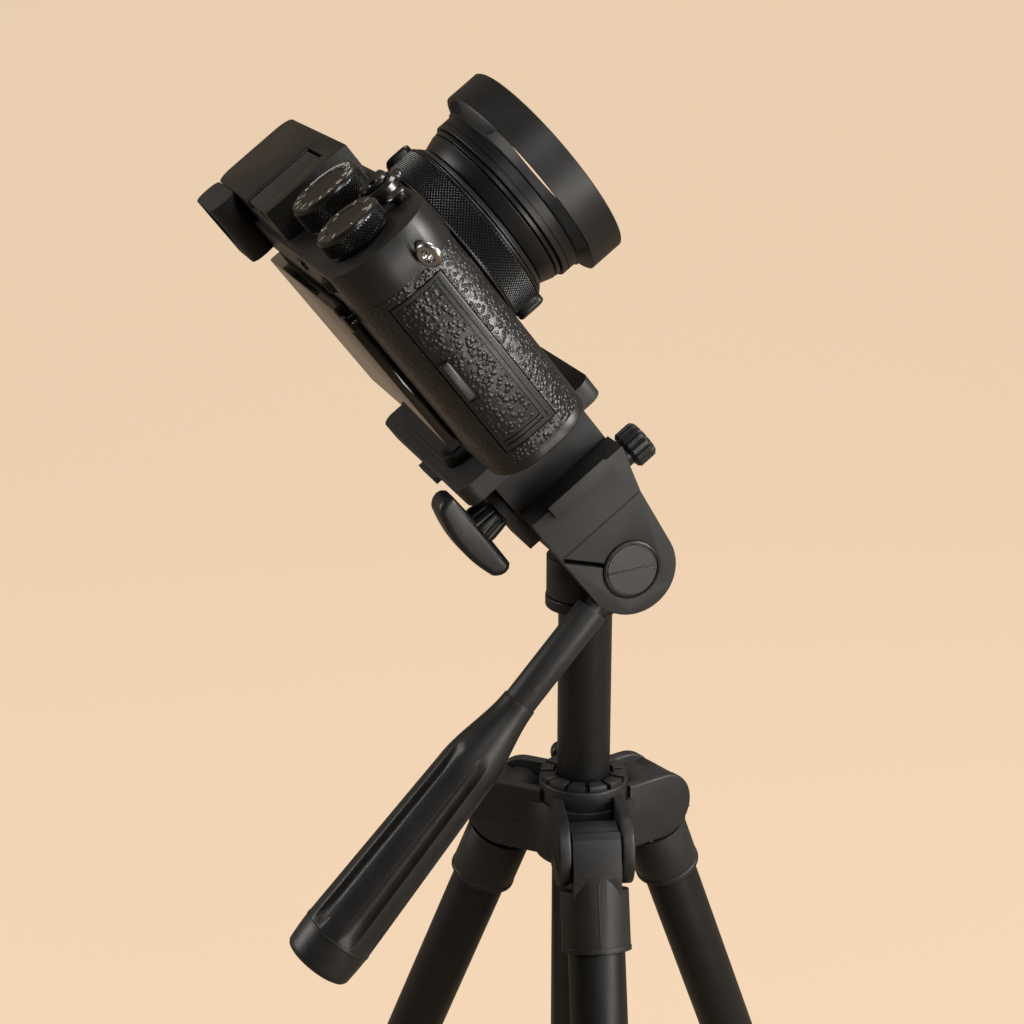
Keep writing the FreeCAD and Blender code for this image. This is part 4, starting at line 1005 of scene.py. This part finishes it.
# %% Vented hood
HOOD_R = 29.2
hood_shell = [(21.5, 23.0), (21.5, 25.0), (21.7, 25.2), (23.0, 25.2), (23.1, 24.95), (23.35, 24.95),
              (23.45, 25.2), (26.1, 25.2),
              (28.4, HOOD_R - 0.3), (28.8, HOOD_R), (38.2, HOOD_R), (38.5, HOOD_R - 0.3), (38.5,
                                                                                           HOOD_R - 1.0),
              (38.3, HOOD_R - 1.2), (28.9, HOOD_R - 1.2), (26.5, 23.0)]
hood_shell = [(face + x, r) for x, r in hood_shell]
vents = []
for index in range(3):
    slot = bar((face + 26.5, face + 28.9), (5.0, 40.0), (-19.0, 19.0), 0.3, 0.0)
    vents.append((slot, Matrix.Rotation(math.radians(120 * index + 54), 4, "X")))
stand_for("hood", cut_away(turned(hood_shell, 192), joined(vents)), place_lens)
print("lens reaches", round(face + 38.5, 1), "mm in front of the tilt axis")

# %% [markdown]
# ## Stage, lights and camera
# A pale warm sheet curves up behind the tripod, so that there is no horizon. Five soft square
# lights stand round it. The two on the right draw the long highlights on hood and tubes; the
# low one also reaches the faces that look at the viewer. The sheet glows by itself, so that
# it stays even, and glows less for rays that do not come from the viewer.

# %% View
VIEW_TURN, VIEW_DIP = math.radians(18.8), math.radians(17.6)
eye = Vector((pivot.x - 0.0055, pivot.y, pivot.z)) + Vector((-0.1850, -0.4796, 0.1737))
lens_data = bpy.data.cameras.new("view")
lens_data.lens = 68.55
lens_data.sensor_width = 36.0
lens_data.clip_start = 0.01
view = bpy.data.objects.new("view", lens_data)
view.location = eye
view.rotation_euler = (math.pi / 2 - VIEW_DIP, 0, -VIEW_TURN)
scene.collection.objects.link(view)
scene.camera = view

# %% Paper sweep
sweep_run = [(-8.0, 0.0), (1.2, 0.0)]
sweep_run += [(1.2 + 1.6 * math.sin(a), 1.6 - 1.6 * math.cos(a)) for a in spaced(0, math.pi / 2, 24)]
sweep_run.append((2.8, 5.0))
paper_mesh = bmesh.new()
edges = [[paper_mesh.verts.new((x, y, z)) for y, z in sweep_run] for x in (-8.0, 8.0)]
for step in range(len(sweep_run) - 1):
    paper_mesh.faces.new((edges[0][step], edges[1][step], edges[1][step + 1], edges[0][step + 1]))
for sheet_face in paper_mesh.faces:
    sheet_face.smooth = True
mesh = bpy.data.meshes.new("paper")
paper_mesh.to_mesh(mesh)
paper_mesh.free()
paper = bpy.data.objects.new("paper", mesh)
paper.rotation_euler = (0, 0, -VIEW_TURN)
scene.collection.objects.link(paper)
paper_finish = new_finish("Peach paper", (0.10, 0.075, 0.052), (0.105, 0.078, 0.055), (0.9, 1.0), 0.6, 0.02)
glow = paper_finish.node_tree.nodes["Principled BSDF"].inputs
glow["Emission Color"].default_value = (0.83, 0.63, 0.44, 1)
paper_tree = paper_finish.node_tree
seen = add_node(paper_tree, "LightPath")
lift = add_node(paper_tree, "MapRange", [("Value", seen.outputs["Is Camera Ray"]), ("To Min", 0.20),
                                         ("To Max", 0.94)])
paper_tree.links.new(lift.outputs[0], glow["Emission Strength"])
glow["Specular IOR Level"].default_value = 0.0
mesh.materials.append(paper_finish)

# %% Soft lights
scene.view_settings.view_transform = "Standard"
world = bpy.data.worlds.new("studio air")
scene.world = world
world.use_nodes = True
world.node_tree.nodes["Background"].inputs["Color"].default_value = (1.0, 0.93, 0.86, 1)
world.node_tree.nodes["Background"].inputs["Strength"].default_value = 0.04


def soft_light(name, across, high, near, width, power, colour=(1.0, 0.96, 0.92)):
    """Area light placed by metres to the right, up and towards the viewer, aimed at the camera body."""
    right = Vector((math.cos(VIEW_TURN), -math.sin(VIEW_TURN), 0))
    towards = Vector((-math.sin(VIEW_TURN), -math.cos(VIEW_TURN), 0))
    data = bpy.data.lights.new(name, "AREA")
    data.shape = "SQUARE"
    data.size = width
    data.energy = power
    data.color = colour
    light = bpy.data.objects.new(name, data)
    light.location = pivot + right * across + towards * near + Vector((0, 0, high))
    light.rotation_euler = (pivot - light.location).to_track_quat("-Z", "Y").to_euler()
    scene.collection.objects.link(light)


soft_light("key", 1.1, 0.55, 0.35, 0.5, 22)
soft_light("front", 0.35, 1.1, 1.1, 0.5, 8)
soft_light("low front", 0.75, -0.08, 0.85, 0.45, 6.5)
soft_light("left", -1.2, 0.35, -0.1, 0.5, 7)
soft_light("top", 0.1, 1.4, -0.4, 0.6, 12)
